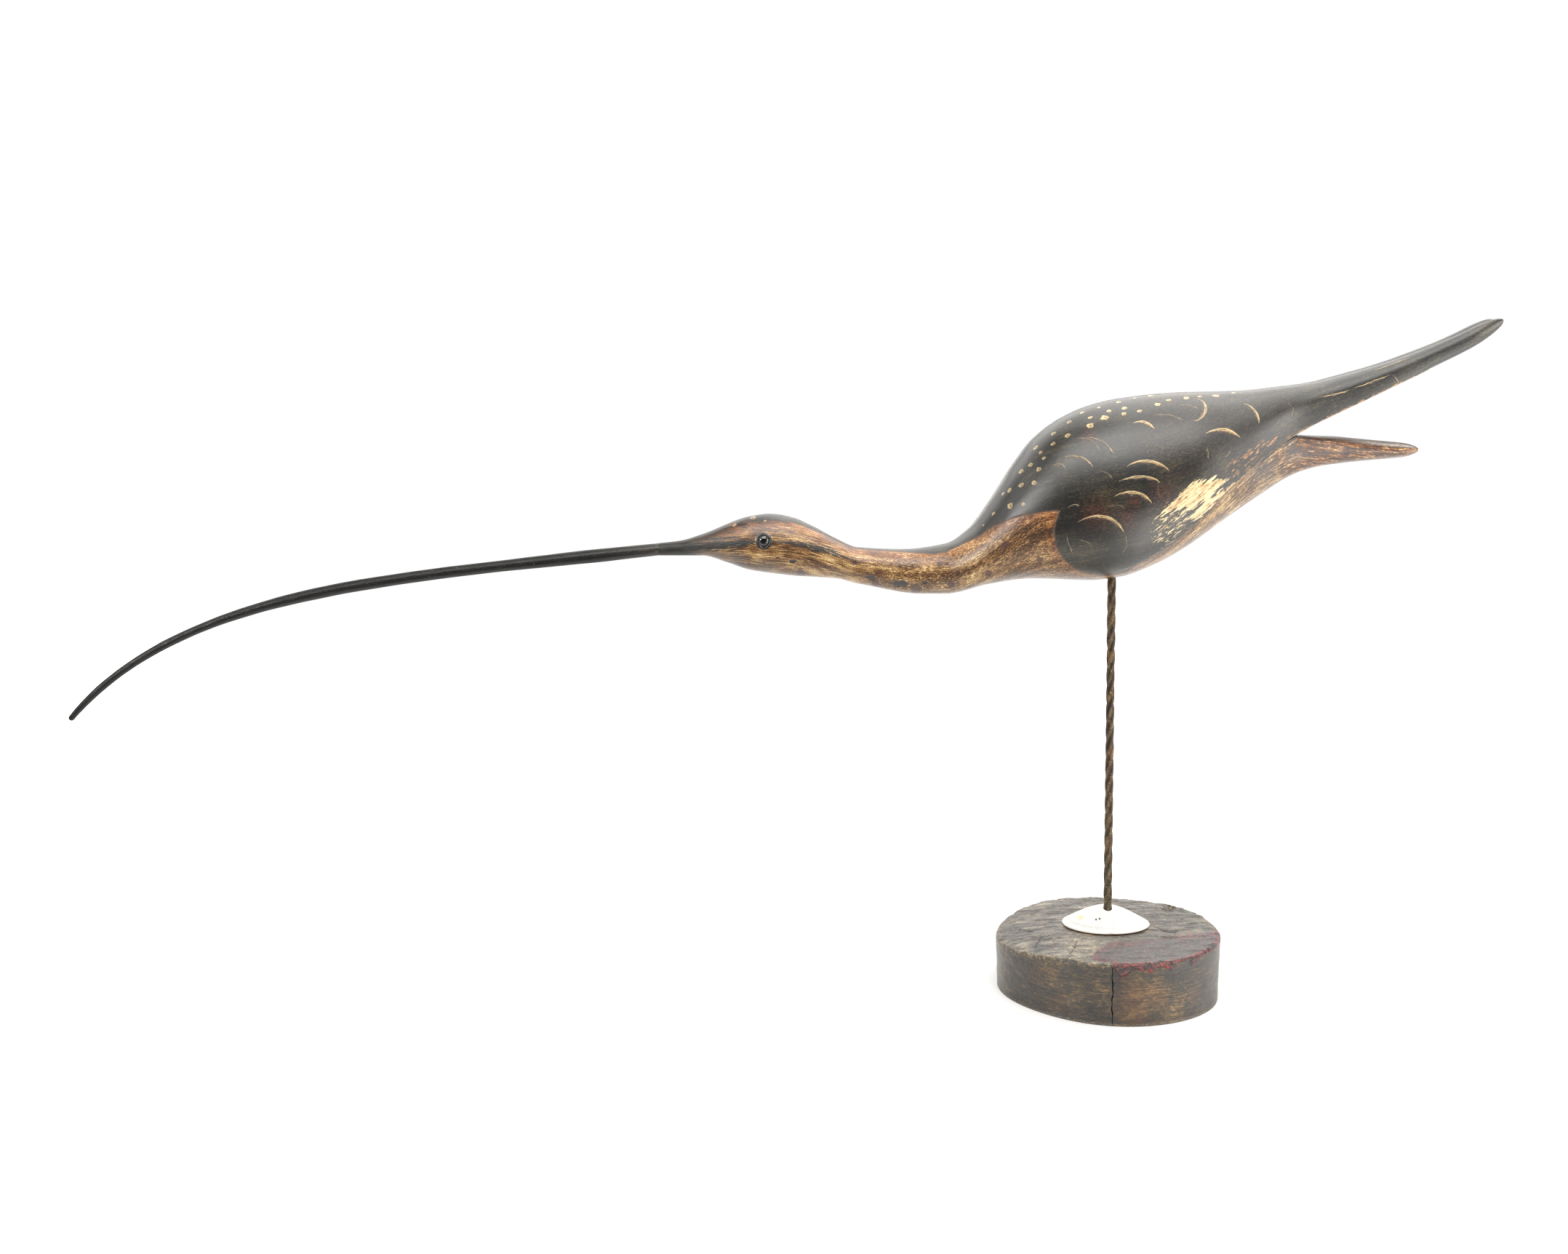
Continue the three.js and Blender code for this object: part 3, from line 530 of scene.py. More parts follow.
def cut(piece, bars):
    """Takes round bars out of a piece."""
    cutters = []
    for i, shell in enumerate(bars):
        mesh = bpy.data.meshes.new("cutter")
        shell.to_mesh(mesh)
        shell.free()
        cutter = bpy.data.objects.new("cutter", mesh)
        bpy.context.scene.collection.objects.link(cutter)
        cutters.append(cutter)
        modifier = piece.modifiers.new(f"hole {i}", "BOOLEAN")
        modifier.object, modifier.operation, modifier.solver = cutter, "DIFFERENCE", "EXACT"
    finalise(piece)
    for cutter in cutters:
        bpy.data.objects.remove(cutter)


def finalise(piece):
    """Turns what the modifiers make into the piece's own mesh."""
    seen_by_viewer = bpy.context.evaluated_depsgraph_get()
    mesh = bpy.data.meshes.new_from_object(piece.evaluated_get(seen_by_viewer))
    piece.modifiers.clear()
    piece.data = mesh
    mesh.shade_smooth()


def coordinates(mesh, what="co"):
    values = np.zeros(len(mesh.vertices) * 3, np.float32)
    source = mesh.vertices if what == "co" else mesh.vertex_normals
    source.foreach_get("co" if what == "co" else "vector", values)
    return values.reshape(-1, 3).astype(float)


def move_points(mesh, points):
    mesh.vertices.foreach_set("co", points.astype(np.float32).ravel())
    mesh.update()


def keep_values(mesh, name, values):
    """Keeps a number or a vector for each point of a mesh, for its material to read."""
    vector = values.ndim == 2
    attribute = mesh.attributes.new(name, "FLOAT_VECTOR" if vector else "FLOAT", "POINT")
    attribute.data.foreach_set("vector" if vector else "value", values.astype(np.float32).ravel())


def settle(piece, node, material):
    """Puts a finished piece in the place of its CAD node."""
    piece.data.materials.clear()
    piece.data.materials.append(material)
    low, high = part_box(*node)
    move_points(piece.data, np.clip(coordinates(piece.data), low, high))
    piece.data.shade_smooth()
    piece.data.set_sharp_from_angle(angle=CRISP_FROM)
    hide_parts(*node)
    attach(piece, "root")


class Value:
    """A socket of a node tree. Plus, minus, times, divide and abs turn it into math nodes."""

    def __init__(self, tree, socket):
        self.tree, self.socket = tree, socket

    def step(self, low, high, start=0, end=1):
        """Goes smoothly from the start to the end while this value goes from low to high."""
        inputs = {"Value": self, "From Min": low, "From Max": high, "To Min": start, "To Max": end}
        return self.tree.add("ShaderNodeMapRange", inputs, interpolation_type="SMOOTHSTEP")

    def held(self):
        """Kept between 0 and 1."""
        return self.tree.math("ADD", self, 0, clamp=True)

    def __add__(self, other):
        return self.tree.math("ADD", self, other)

    def __sub__(self, other):
        return self.tree.math("SUBTRACT", self, other)

    def __rsub__(self, other):
        return self.tree.math("SUBTRACT", other, self)

    def __mul__(self, other):
        return self.tree.math("MULTIPLY", self, other)

    def __truediv__(self, other):
        return self.tree.math("DIVIDE", self, other)

    def __abs__(self):
        return self.tree.math("ABSOLUTE", self)

    __radd__, __rmul__ = __add__, __mul__


class Tree:
    """A node tree under construction. Each call adds a node and gives the value to go on from."""

    def __init__(self, tree):
        self.nodes, self.links = tree.nodes, tree.links

    def plug(self, value, socket):
        if isinstance(value, Value):
            self.links.new(value.socket, socket)
        else:
            socket.default_value = value

    def add(self, kind, inputs=None, output=0, **options):
        node = self.nodes.new(kind)
        for option, value in options.items():
            setattr(node, option, value)
        for socket, value in (inputs or {}).items():
            self.plug(value, node.inputs[socket])
        return Value(self, node.outputs[output])

    def math(self, operation, *values, clamp=False):
        return self.add("ShaderNodeMath", dict(enumerate(values)), operation=operation, use_clamp=clamp)

    def most(self, *values):
        return self.math("MAXIMUM", *values)

    def scaled(self, vector, by):
        return self.add("ShaderNodeVectorMath", {0: vector, "Scale": by}, operation="SCALE")

    def stretched(self, vector, scale):
        return self.add("ShaderNodeVectorMath", {0: vector, 1: scale}, operation="MULTIPLY")

    def reach(self, vector):
        return self.add("ShaderNodeVectorMath", {0: vector}, "Value", operation="LENGTH")

    def joined(self, x, y, z=0):
        return self.add("ShaderNodeCombineXYZ", {0: x, 1: y, 2: z})

    def parts(self, vector):
        node = self.add("ShaderNodeSeparateXYZ", {0: vector}).socket.node
        return [Value(self, socket) for socket in node.outputs]

    def noise(self, place, scale, detail=3, rough=0.5, twist=0):
        """Noise whose marks are as many to a unit as the scale says, in all directions or in each."""
        if isinstance(scale, tuple):
            place, scale = self.stretched(place, scale), 1
        inputs = {"Vector": place, "Scale": scale, "Detail": detail, "Roughness": rough, "Distortion": twist}
        return self.add("ShaderNodeTexNoise", inputs)

    def form(self, kind, output=0, **inputs):
        """A node that makes or reads geometry."""
        return self.add("GeometryNode" + kind, {k.replace("_", " "): v for k, v in inputs.items()}, output)

    def wave(self, angle, count):
        """Rises and falls between 0 and 1 as often as the count says, while the angle goes round."""
        return self.math("COSINE", angle * count) * 0.5 + 0.5

    def finish(self, geometry, push, material):
        """Pushes the points along their normals, makes one mesh of it all and plugs that in."""
        push = self.scaled(self.form("InputNormal"), push)
        geometry = self.form("SetPosition", Geometry=geometry, Offset=push)
        geometry = self.form("RealizeInstances", Geometry=geometry)
        geometry = self.form("SetMaterial", Geometry=geometry, Material=material)
        self.plug(geometry, self.nodes.new("NodeGroupOutput").inputs[0])


class Finish(Tree):
    """A material under construction, with its places in millimetres.

    A colour is a setting, a value of the tree, or three numbers as they look on a screen.
    """

    def __init__(self, name, **sockets):
        self.material = bpy.data.materials.new(name)
        self.material.use_nodes = True
        super().__init__(self.material.node_tree)
        self.shader = self.nodes["Principled BSDF"]
        for socket, value in sockets.items():
            self.shader.inputs[socket.replace("_", " ")].default_value = value
        self.place = self.scaled(self.add("ShaderNodeTexCoord", output="Object"), 1 / MM)

    def kept(self, name):
        """A number that the mesh keeps at its points."""
        return self.add("ShaderNodeAttribute", output="Fac", attribute_name=name)

    def kept_parts(self, name):
        """The three numbers of a vector that the mesh keeps at its points."""
        return self.parts(self.add("ShaderNodeAttribute", output="Vector", attribute_name=name))

    def facing_up(self):
        return self.parts(self.add("ShaderNodeNewGeometry", output="Normal"))[2]

    def paint(self, shade):
        if isinstance(shade, Value):
            return shade
        return (*(linear(*shade) if isinstance(shade, tuple) else shade), 1)

    def over(self, share, under, above):
        """One colour laid over another."""
        inputs = {0: share, 6: self.paint(under), 7: self.paint(above)}
        return self.add("ShaderNodeMix", inputs, 2, data_type="RGBA")

    def shades(self, value, *stops):
        """Colours at places from 0 to 1 along a value, blended in between."""
        ramp_here = self.add("ShaderNodeValToRGB", {0: value})
        marks = ramp_here.socket.node.color_ramp.elements
        for i, (place, shade) in enumerate(stops):
            mark = marks[i] if i < 2 else marks.new(place)
            mark.position, mark.color = place, self.paint(shade)
        return ramp_here

    def done(self, shade, rough, relief=None, coat=None):
        """Plugs in the colour, the roughness, the relief in millimetres and the varnish's weight."""
        plugs = {"Base Color": shade, "Roughness": rough}
        if relief:
            bump = self.add("ShaderNodeBump", {"Height": relief, "Distance": MM, "Strength": 1})
            plugs.update({"Normal": bump, "Coat Normal": bump})
        if coat:
            plugs["Coat Weight"] = coat
        for socket, value in plugs.items():
            self.plug(value, self.shader.inputs[socket])
        return self.material


# The carved bird's form
LINES = {
    "back": smooth_line(BACK_LINE), "belly": smooth_line(BELLY_LINE), "width": smooth_line(WIDTH_LINE),
    "widest": smooth_line(WIDEST_LINE), "edge": smooth_line(WING_EDGE_LINE),
    "wing": [smooth_line(WING_LINE, column) for column in (1, 2, 3)],
    "tail": [smooth_line(TAIL_LINE, column) for column in (1, 2, 3)],
}


def body_section(along):
    """The section's measures in front of the notch."""
    top, bottom, half = LINES["back"](along), LINES["belly"](along), LINES["width"](along)
    widest = bottom + LINES["widest"](along) * (top - bottom)
    apart = ramp(along, GROOVE_START, WINGS_PART)
    return SimpleNamespace(
        top=top, bottom=bottom, half=half, widest=widest,
        edge=bottom + LINES["edge"](along) * (top - bottom),
        mouth=NOTCH_MOUTH / 2 * ramp(along, NOTCH_START, NOTCH),
        ridge=half / 2 * apart, drop=widest - bottom, inner=np.zeros_like(along),
        valley=top - (top - widest) * apart ** 1.5,
        proud=WING_PROUD * ramp(along, 0, WING_PROUD_FULL),
        plunge=ramp(along, NOTCH_START, NOTCH) ** 2,
    )


def flank_reach(section, height):
    """The turn round the flank and the reach out from the middle at a height."""
    below = section.widest - height
    turn = unpower(np.where(below > 0, below / np.maximum(section.drop, 1e-9), 0))
    return turn, section.ridge + (section.half - section.ridge) * power(np.cos(turn))


def wing_section(along):
    """The wing pair's measures behind the notch."""
    middle, half_height, pair_half = (line(along) for line in LINES["wing"])
    rounding = round_end(along, WING_TIP, WING_TIP_ROUND)
    high = half_height * rounding
    spread = TIP_SPREAD * ramp(along, WINGS_PART, WING_TIP)
    apart = ramp(along, GROOVE_START, WINGS_PART)
    ridge = (pair_half + spread) / 2 * apart
    parted = along >= WINGS_PART
    fade = ramp(along, NOTCH, WINGS_PART)
    return SimpleNamespace(
        top=middle + high, widest=middle, half=ridge + (pair_half - ridge) * rounding, ridge=ridge,
        drop=mix(body_section(np.array([NOTCH * 1.0])).drop[0], high, np.sqrt(fade)),
        edge=middle - high, mouth=NOTCH_MOUTH / 2 * (1 - fade),
        inner=np.where(parted, ridge - (ridge - spread) * rounding, 0),
        valley=np.where(parted, middle, middle + high * (1 - apart ** 1.5)),
        under=np.where(parted, middle, middle - high * (1 - fade ** 1.5)),
    )


def tail_section(along):
    """The tail's measures behind the notch."""
    middle, half_height, half = (line(along) for line in LINES["tail"])
    rounding = round_end(along, TAIL_TIP, TAIL_TIP_ROUND)
    high = half_height * rounding
    front = body_section(np.array([NOTCH * 1.0]))
    front_reach = flank_reach(front, front.edge + front.mouth)[1] - front.proud
    fade = ramp(along, NOTCH, TAIL_TIP - TAIL_TIP_ROUND)
    rim = mix(middle + high - front.mouth * rounding, middle, fade)
    return SimpleNamespace(
        top=middle + high, bottom=middle - high, rim=rim,
        reach=mix(front_reach, half, np.minimum(fade * 4, 1)) * rounding,
        centre=mix(front.widest, rim, np.minimum(fade * 1.5, 1)),
    )


def quarter(steps, first):
    return np.arange(first, steps + 1)[None] / steps * math.pi / 2


def column(values):
    return np.asarray(values, float)[:, None]


def upper_points(s, deep_reach, deep_height):
    """From the groove on top, over the flank and under the wing: outward reach and height, by row."""
    s = SimpleNamespace(**{name: column(value) for name, value in vars(s).items()})
    turn = quarter(FACES.groove, 0)
    groove = (s.ridge - (s.ridge - s.inner) * np.cos(turn), s.valley + (s.top - s.valley) * np.sin(turn))
    edge_height = s.edge + s.mouth
    edge_turn, edge_reach = flank_reach(s, edge_height)
    turn = mix(math.pi / 2, -edge_turn, np.arange(1, FACES.flank + 1)[None] / FACES.flank)
    rise = np.where(turn > 0, s.top - s.widest, -s.drop)
    flank = (s.ridge + (s.half - s.ridge) * power(np.cos(turn)),
             s.widest + rise * power(np.abs(np.sin(turn))))
    turn = quarter(FACES.under_wing, 1)
    under = (edge_reach - (edge_reach - column(deep_reach)) * np.sin(turn),
             edge_height + (column(deep_height) - edge_height) * (1 - np.cos(turn)))
    return [np.concatenate(part, axis=1) for part in zip(groove, flank, under)]


def lower_points(deep_reach, deep_height, reach, rim, centre, bottom):
    """From the middle of the tail's top, over its rim and round the belly."""
    values = (deep_reach, deep_height, reach, rim, centre, bottom)
    deep_reach, deep_height, reach, rim, centre, bottom = (column(value) for value in values)
    turn = quarter(FACES.tail_top, 0)
    tail_top = (deep_reach + (reach - deep_reach) * np.sin(turn), rim + (deep_height - rim) * np.cos(turn))
    drop = centre - bottom
    rim_turn = unpower(np.where(drop > 0, (centre - rim) / np.maximum(drop, 1e-9), 0))
    steps = np.arange(1, FACES.belly + 1)[None] / FACES.belly
    turn = mix(rim_turn, math.pi / 2, steps)
    share = np.where(steps < 1, power(np.cos(turn)) / power(np.cos(rim_turn)), 0)
    belly = (reach * share, centre - drop * power(np.sin(turn)))
    return [np.concatenate(part, axis=1) for part in zip(tail_top, belly)]


def runs(*parts):
    """Stations along the carving, from runs of a start, an end and a spacing."""
    each = [np.linspace(a, b, round((b - a) / step), endpoint=False) for a, b, step in parts]
    return np.concatenate([*each, [parts[-1][1]]])


def bird_rows(side):
    """The upper and the lower skin of one side as grids of points, in percent."""
    body = runs((HEAD_FRONT, -43.2, 0.28), (-43.2, -39.8, 0.11), (-39.8, -17, 0.28), (-17, NOTCH, 0.18))
    wings = runs((NOTCH, WINGS_PART, 0.22))[1:]
    eased = np.sin(np.linspace(0, 1, 40) * math.pi / 2)[1:]
    wings = np.concatenate([wings, mix(WINGS_PART, WING_TIP, eased)])
    steps = np.linspace(0, 1, 70)[1:]
    tail = mix(NOTCH, TAIL_TIP, mix(steps, np.sin(steps * math.pi / 2), 0.7))

    section = body_section(body)
    reach = flank_reach(section, section.edge + section.mouth)[1] - section.proud
    deep = reach * (1 - section.plunge)
    upper = upper_points(section, deep, section.edge)
    lower = lower_points(deep, section.edge, reach, section.edge - section.mouth, section.widest,
                         section.bottom)
    wing = wing_section(wings)
    wing_points = upper_points(wing, wing.inner, wing.under)
    t = tail_section(tail)
    tail_points = lower_points(np.zeros_like(tail), t.top, t.reach, t.rim, t.centre, t.bottom)

    far = ramp(wings, WINGS_PART, WING_TIP) ** 2 if side > 0 else 0
    skins = []
    for along, front, behind, shift in ((wings, upper, wing_points, FAR_TIP_SHORT * far),
                                        (tail, lower, tail_points, 0)):
        reach, up = (np.concatenate(pair) for pair in zip(front, behind))
        x = np.concatenate([body, along - shift])[:, None] + np.zeros_like(reach)
        skins.append(np.stack([x, side * reach, up], axis=2))
    return skins, len(body)


def eased_rows(rows, kept, passes=60):
    """Rows smoothed along the carving where it meets the notch, all but the kept outer columns."""
    x, columns = rows[:, :1, 0], np.arange(rows.shape[1])[None]
    weight = soft(columns, kept[0], kept[0] + 8) * soft(columns, kept[1], kept[1] - 8)
    weight = weight * soft(x, GROOVE_START, GROOVE_START + 4) * soft(x, TAIL_TIP - 3, NOTCH + 8)
    weight = weight[1:-1, :, None]
    for _ in range(passes):
        rows[1:-1] += weight * 0.5 * ((rows[:-2] + rows[2:]) / 2 - rows[1:-1])
    return rows


def lengths_round(skin):
    """The way round each row of a skin, from its first column."""
    steps = np.linalg.norm(np.diff(skin, axis=1), axis=2)
    return np.concatenate([np.zeros((len(skin), 1)), np.cumsum(steps, axis=1)], axis=1)


def flow_of(upper, lower, body_rows):
    """For the points of both skins: the way along and round the carving, and above the wing's edge.

    The way round is counted from the widest line, and under the wing's edge from that edge.
    """
    edge_column, rim_column = FACES.groove + FACES.flank, FACES.tail_top
    above, below = lengths_round(upper), lengths_round(lower)
    reach = np.abs(upper[:, :, 1])
    share = (reach - reach.max(1, keepdims=True) * 0.985).clip(0)
    widest = (above * share).sum(1) / np.maximum(share.sum(1), 1e-9)
    widest = np.convolve(np.pad(widest, 12, mode="edge"), np.ones(25) / 25, mode="valid")
    edge = above[:, edge_column]
    x = lower[:, 0, 0]
    first = int(np.searchsorted(x, 2))
    start = np.full(len(lower), (widest - edge)[first])
    start[:first] = (widest - edge)[:first]
    over_edge = np.where(upper[:, :1, 0] > 0.5, edge[:, None] - above, EDGE_FAR)
    under_edge = np.where(x[:, None] > 0.5, below[:, rim_column][:, None] - below, EDGE_FAR)
    under_edge[body_rows:] = -EDGE_FAR
    upper_flow = np.stack([upper[:, :, 0], widest[:, None] - above, over_edge], axis=2)
    past_rim = below - below[:, rim_column][:, None]
    lower_flow = np.stack([lower[:, :, 0], start[:, None] - past_rim, under_edge], axis=2)
    return upper_flow, lower_flow


def build_bird(settings):
    """The carving as one closed mesh, and the flow and the skin of each point before the cuts."""
    points, faces, flows, parts = [], [], [], []
    percent = settings.carving / 100
    for side in (-1, 1):
        (upper, lower), body_rows = bird_rows(side)
        upper = eased_rows(upper, (FACES.groove, FACES.groove + FACES.flank))
        lower = eased_rows(lower, (FACES.tail_top, lower.shape[1] + 7))
        for skin, flow, part in zip((upper, lower), flow_of(upper, lower, body_rows), (1.0, 0.0)):
            rows, columns = skin.shape[:2]
            faces += grid_faces(len(points), rows, columns)
            cap = [len(points) + c for c in range(columns)]
            flows += (flow * percent / MM).reshape(-1, 3).tolist()
            parts += [part] * (rows * columns)
            points += skin.reshape(-1, 3).tolist()
            middle = len(points)
            points.append([HEAD_FRONT, 0, BILL_UP])
            flows.append([HEAD_FRONT * percent / MM, 0, 99])
            parts.append(0.5)
            faces += [(a, b, middle) for a, b in zip(cap, cap[1:])]
    placed = np.array(points) * percent + (0, 0, settings.belly)
    piece = made("carved_bird", placed, faces)
    return piece, finder_of(placed), np.array(flows), np.array(parts)


def finder_of(points):
    """Finds the nearest of some points."""
    finder = KDTree(len(points))
    for i, place in enumerate(points):
        finder.insert(place, i)
    finder.balance()
    return finder


def eye_place(side):
    """The eye's middle on the head's skin, from the frame."""
    low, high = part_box("eye_left" if side < 0 else "eye_right")
    return Vector(((low.x + high.x) / 2, low.y if side < 0 else high.y, (low.z + high.z) / 2))


class Marks:
    """Painted marks on a skin. Each keeps, at the points round it, their place on the mark."""

    def __init__(self, points, tree):
        self.points, self.tree = points, tree
        self.finder = finder_of(points)
        self.layers = []

    def lay(self, path, reach, strength, place_on):
        """Keeps a mark in the first layer where nothing else is near it."""
        near = {i for spot in path for _, i, _ in self.finder.find_range(spot, reach)}
        near = np.array(sorted(near), int)
        if not len(near):
            return
        layer = next((each for each in self.layers if not each["taken"][near].any()), None)
        if not layer:
            count = len(self.points)
            layer = {"taken": np.zeros(count, bool), "place": np.tile([0, MARK_FAR, 0], (count, 1)),
                     "tone": np.tile([MARK_FAR, 0, 0], (count, 1))}
            self.layers.append(layer)
        layer["taken"][near] = True
        layer["place"][near], gap = place_on(self.points[near])
        layer["tone"][near] = np.stack([gap, np.full_like(gap, strength), gap * 0], axis=1)

    def path(self, pixels, side, shift):
        """Points and normals along a painted line, on the side of the bird that is asked for."""
        corners = np.array(pixels, float)
        at = np.linspace(0, 1, len(corners))
        steps = np.linspace(0, 1, 17)
        bend = np.polyfit(at, corners, min(len(corners) - 1, 3))
        line = sum(bend[i][None] * steps[:, None] ** (len(bend) - 1 - i) for i in range(len(bend)))
        flip = Vector((1, -side, 1))
        hits = [touch(self.tree, pixel) for pixel in line]
        return [(place * flip + shift, normal * flip) for place, normal in hits]

    def stroke(self, pixels, half, strength, side, shift):
        """Keeps how far along a stroke each point is, from -1 to 1, and how far off its line."""
        half = half * STROKE_SHARE
        hits = self.path(pixels, side, shift)
        line = np.array([place for place, _ in hits])
        legs = np.diff(line, axis=0)
        size = np.linalg.norm(legs, axis=1)
        before = np.concatenate([[0], np.cumsum(size)])
        sides = np.array([normal.cross(Vector(leg)).normalized() for (_, normal), leg in zip(hits, legs)])

        def place_on(points):
            away = points[:, None] - line[None, :-1]
            share = np.einsum("pls,ls->pl", away, legs) / size ** 2
            share[:, 1:-1] = share[:, 1:-1].clip(0, 1)
            share[:, 0], share[:, -1] = share[:, 0].clip(None, 1), share[:, -1].clip(0, None)
            gap = np.linalg.norm(away - share[:, :, None] * legs[None], axis=2)
            best, row = gap.argmin(1), np.arange(len(points))
            along = (before[best] + share[row, best] * size[best]) / before[-1] * 2 - 1
            off = np.einsum("ps,ps->p", away[row, best], sides[best]) / MM
            return np.stack([along, off, np.full(len(points), half)], axis=1), gap[row, best] / MM - half

        self.lay(line.tolist(), (half * 1.3 + 3.2) * MM, strength, place_on)

    def spot(self, pixel, half_long, half_high, strength, side, shift):
        """Keeps where on a spot each point is, from -1 to 1 along it and up."""
        middle, normal = self.path([pixel, pixel], side, shift)[0]
        along = (Vector((1, 0, 0)) - normal * normal.x).normalized()
        axes = np.array([along / half_long, normal.cross(along) / half_high, (0, 0, 0)])

        def place_on(points):
            away = (points - np.array(middle)) / MM
            return away @ axes.T, np.linalg.norm(away, axis=1) - max(half_long, half_high)

        self.lay([middle], (max(half_long, half_high) * 1.3 + 2.4) * MM, strength, place_on)


def paint_marks(mesh, points, tree):
    """Keeps the strokes, dots and chips of both sides as layers on the mesh."""
    rng = np.random.default_rng(31)
    strokes, spots = Marks(points, tree), Marks(points, tree)
    for side in (-1, 1):
        drift = FAR_SIDE_DRIFT * MM if side > 0 else 0

        def shifted():
            return Vector((rng.normal() * drift, 0, rng.normal() * drift))

        for stroke in FEATHER_STROKES + DARK_STROKES:
            strokes.stroke(*stroke, side, shifted())
        for spot in DOTS + CHIPS:
            spots.spot(*spot, side, shifted())
            # A number that nothing uses. It keeps the marks that follow at their places
            rng.random()
    for kind, marks in (("stroke", strokes), ("spot", spots)):
        for i, layer in enumerate(marks.layers):
            for what in ("place", "tone"):
                keep_values(mesh, f"{kind} {i} {what}", layer[what])
    return strokes.layers, spots.layers


def bird_noises(f):
    """The bird's brush marks and blots, and where on it the paint changes.

    Along is millimetres from the leg, towards the tail. The brush went that way.
    """
    flow = f.add("ShaderNodeAttribute", output="Vector", attribute_name="flow")
    along, _, over_edge = f.parts(flow)
    breast = along.step(*BREAST_FRONT) * along.step(*BREAST_BACK)
    return SimpleNamespace(
        along=along, over_edge=over_edge, facing=f.facing_up(), breast=breast, tail=along.step(*TAIL_PAINT),
        streak=f.noise(flow, (0.5, 1.5, 0), 6, 0.75, 0.3), drawn=f.noise(flow, (0.13, 1.9, 0), 5, 0.66),
        hair=f.noise(flow, (1.5, 4.6, 0), 4, 0.72), cross=f.noise(flow, (3.4, 1, 0), 5, 0.72, 0.5),
        patch=f.noise(flow, (0.06, 0.13, 0), 4, 0.6), bands=f.noise(flow, (0.016, 0.26, 0)),
        smears=f.noise(flow, (0.12, 0.8, 0), 5, 0.7, 0.3), gaps=f.noise(flow, (0.45, 2.6, 0), 3, 0.7),
        broad=f.noise(f.place, 0.055), middling=f.noise(f.place, 0.3, 3, 0.6),
        dabs=f.noise(f.place, 0.75, 3, 0.6), stipple=f.noise(f.place, 0.09, 2),
    )


def glazed_paint(f, s, n):
    """Ochre and cream under a brown glaze, thin on the neck and thick by the dark paint."""
    red, purple, grey = f.kept_parts("stains")
    neck = n.along.step(*NECK_FRONT) * n.along.step(*NECK_BACK)
    level = n.grain * 1.8 - 0.4 + (n.patch - 0.5) * 0.4 + (n.bands - 0.5) * 0.3
    level += n.along.step(*FLANK_SMEARS) * (n.smears * 1.1 - 0.578) - neck * 0.01
    level -= n.tail * (n.patch - 0.42) * 0.7 + n.breast * 0.05 + n.along.step(*FACE_PAINT) * 0.025
    brown = f.shades(level, (0.37, (38, 24, 14)), (0.44, s.glaze), (0.5, (120, 80, 42)), (0.56, s.ochre),
                     (0.65, s.cream))
    rich = f.shades(level, (0.37, (44, 26, 14)), (0.46, s.rich), (0.58, (186, 122, 66)), (0.68, s.cream))
    below = f.shades(level, (0.37, (56, 36, 20)), (0.46, (112, 76, 38)), (0.55, s.tan), (0.64, s.cream))
    by_dark = n.dark_by.step(*THICK_BY_DARK) * 0.75
    brown = f.over(f.most(by_dark, n.tail * 0.85), brown, rich)
    tail_top = n.tail * n.facing.step(0.35, 0.6)
    brown = f.over(tail_top * n.streak.step(0.6, 0.4, 0.4, 0.95), brown, (40, 30, 23))
    brown = f.over(n.facing.step(0, -0.75) * n.tail.step(0, 1, 0.5, 0.2), brown, below)
    brown = f.over(((n.middling - 0.5) * 1.2 + purple).step(0.3, 0.6) * 0.8, brown, (70, 38, 38))
    mottle = f.over(n.tail, (72, 70, 72), (104, 98, 98))
    return f.over(grey * n.grain.step(0.42, 0.6, 0.85, 0.3), brown, mottle), red


def dark_paint(f, s, n, red):
    """Dark paint with thin brushed lines and red underpaint, and where it lies."""
    level = n.grain * 1.2 - 0.1 + (n.broad - 0.5) * 0.3 + (n.bands - 0.5) * 0.25 + (n.drawn - 0.5) * 0.35
    dark = f.shades(level, (0.4, (13, 13, 12)), (0.5, s.dark), (0.58, s.worn_dark), (0.7, (92, 82, 56)))
    dark = f.over(red * n.streak.step(0.46, 0.6) * 0.9, dark, s.red)
    ragged = n.dark_by + (n.grain - 0.5) * 8 + (n.drawn - 0.5) * n.along.step(*HEAD_LINES, 0, 80)
    dark = f.over(ragged.step(3, 0.4) * n.streak.step(0.52, 0.62) * 0.6, dark, (112, 76, 42))
    return dark, ragged.step(-0.4, 0.5)


def laid_stroke(f, s, n, name, shade, height):
    """A stroke, crisp and bright on the outside of its curve and brushed thin on the inside."""
    way, off, half = f.kept_parts(f"{name} place")
    gap, strength, _ = f.kept_parts(f"{name} tone")
    taper = (1 - way * way) * (way * 0.35 + 1)
    reach = f.most(half * taper, 0.001)
    off += n.middling * 0.9 - 0.45
    inward = (reach * 1.35 + off) / (reach * 2.1)
    bristles = f.noise(f.joined(way * 2.2, off * 4, half), 1, 3, 0.65) * 1.3 + n.gaps * 0.9 - 0.6
    laid = (inward * 0.46 + abs(strength) * 0.27 - bristles).step(-0.05, 0.1)
    laid *= (reach - off).step(-0.06, 0.16) * inward.step(0, 0.12) * gap.step(1.3, 1)
    laid *= taper.step(0, 0.12) * n.patch.step(0.36, 0.52, 0.62, 1)
    brushed = (2.95 - abs(off) / reach - strength * 1.2 - n.drawn * 5.5).step(0.05, 0.35)
    brushed *= gap.step(1.6, 1.2) * strength.step(0, -0.4) * 0.95
    pale = f.over((inward + n.streak - 0.5).step(0.38, 0.92), (118, 84, 46), (222, 190, 136))
    shade = f.over(laid * (strength / 0.9).held() * 0.95, shade, pale)
    return f.over(brushed, shade, s.dark), height + laid * 0.04


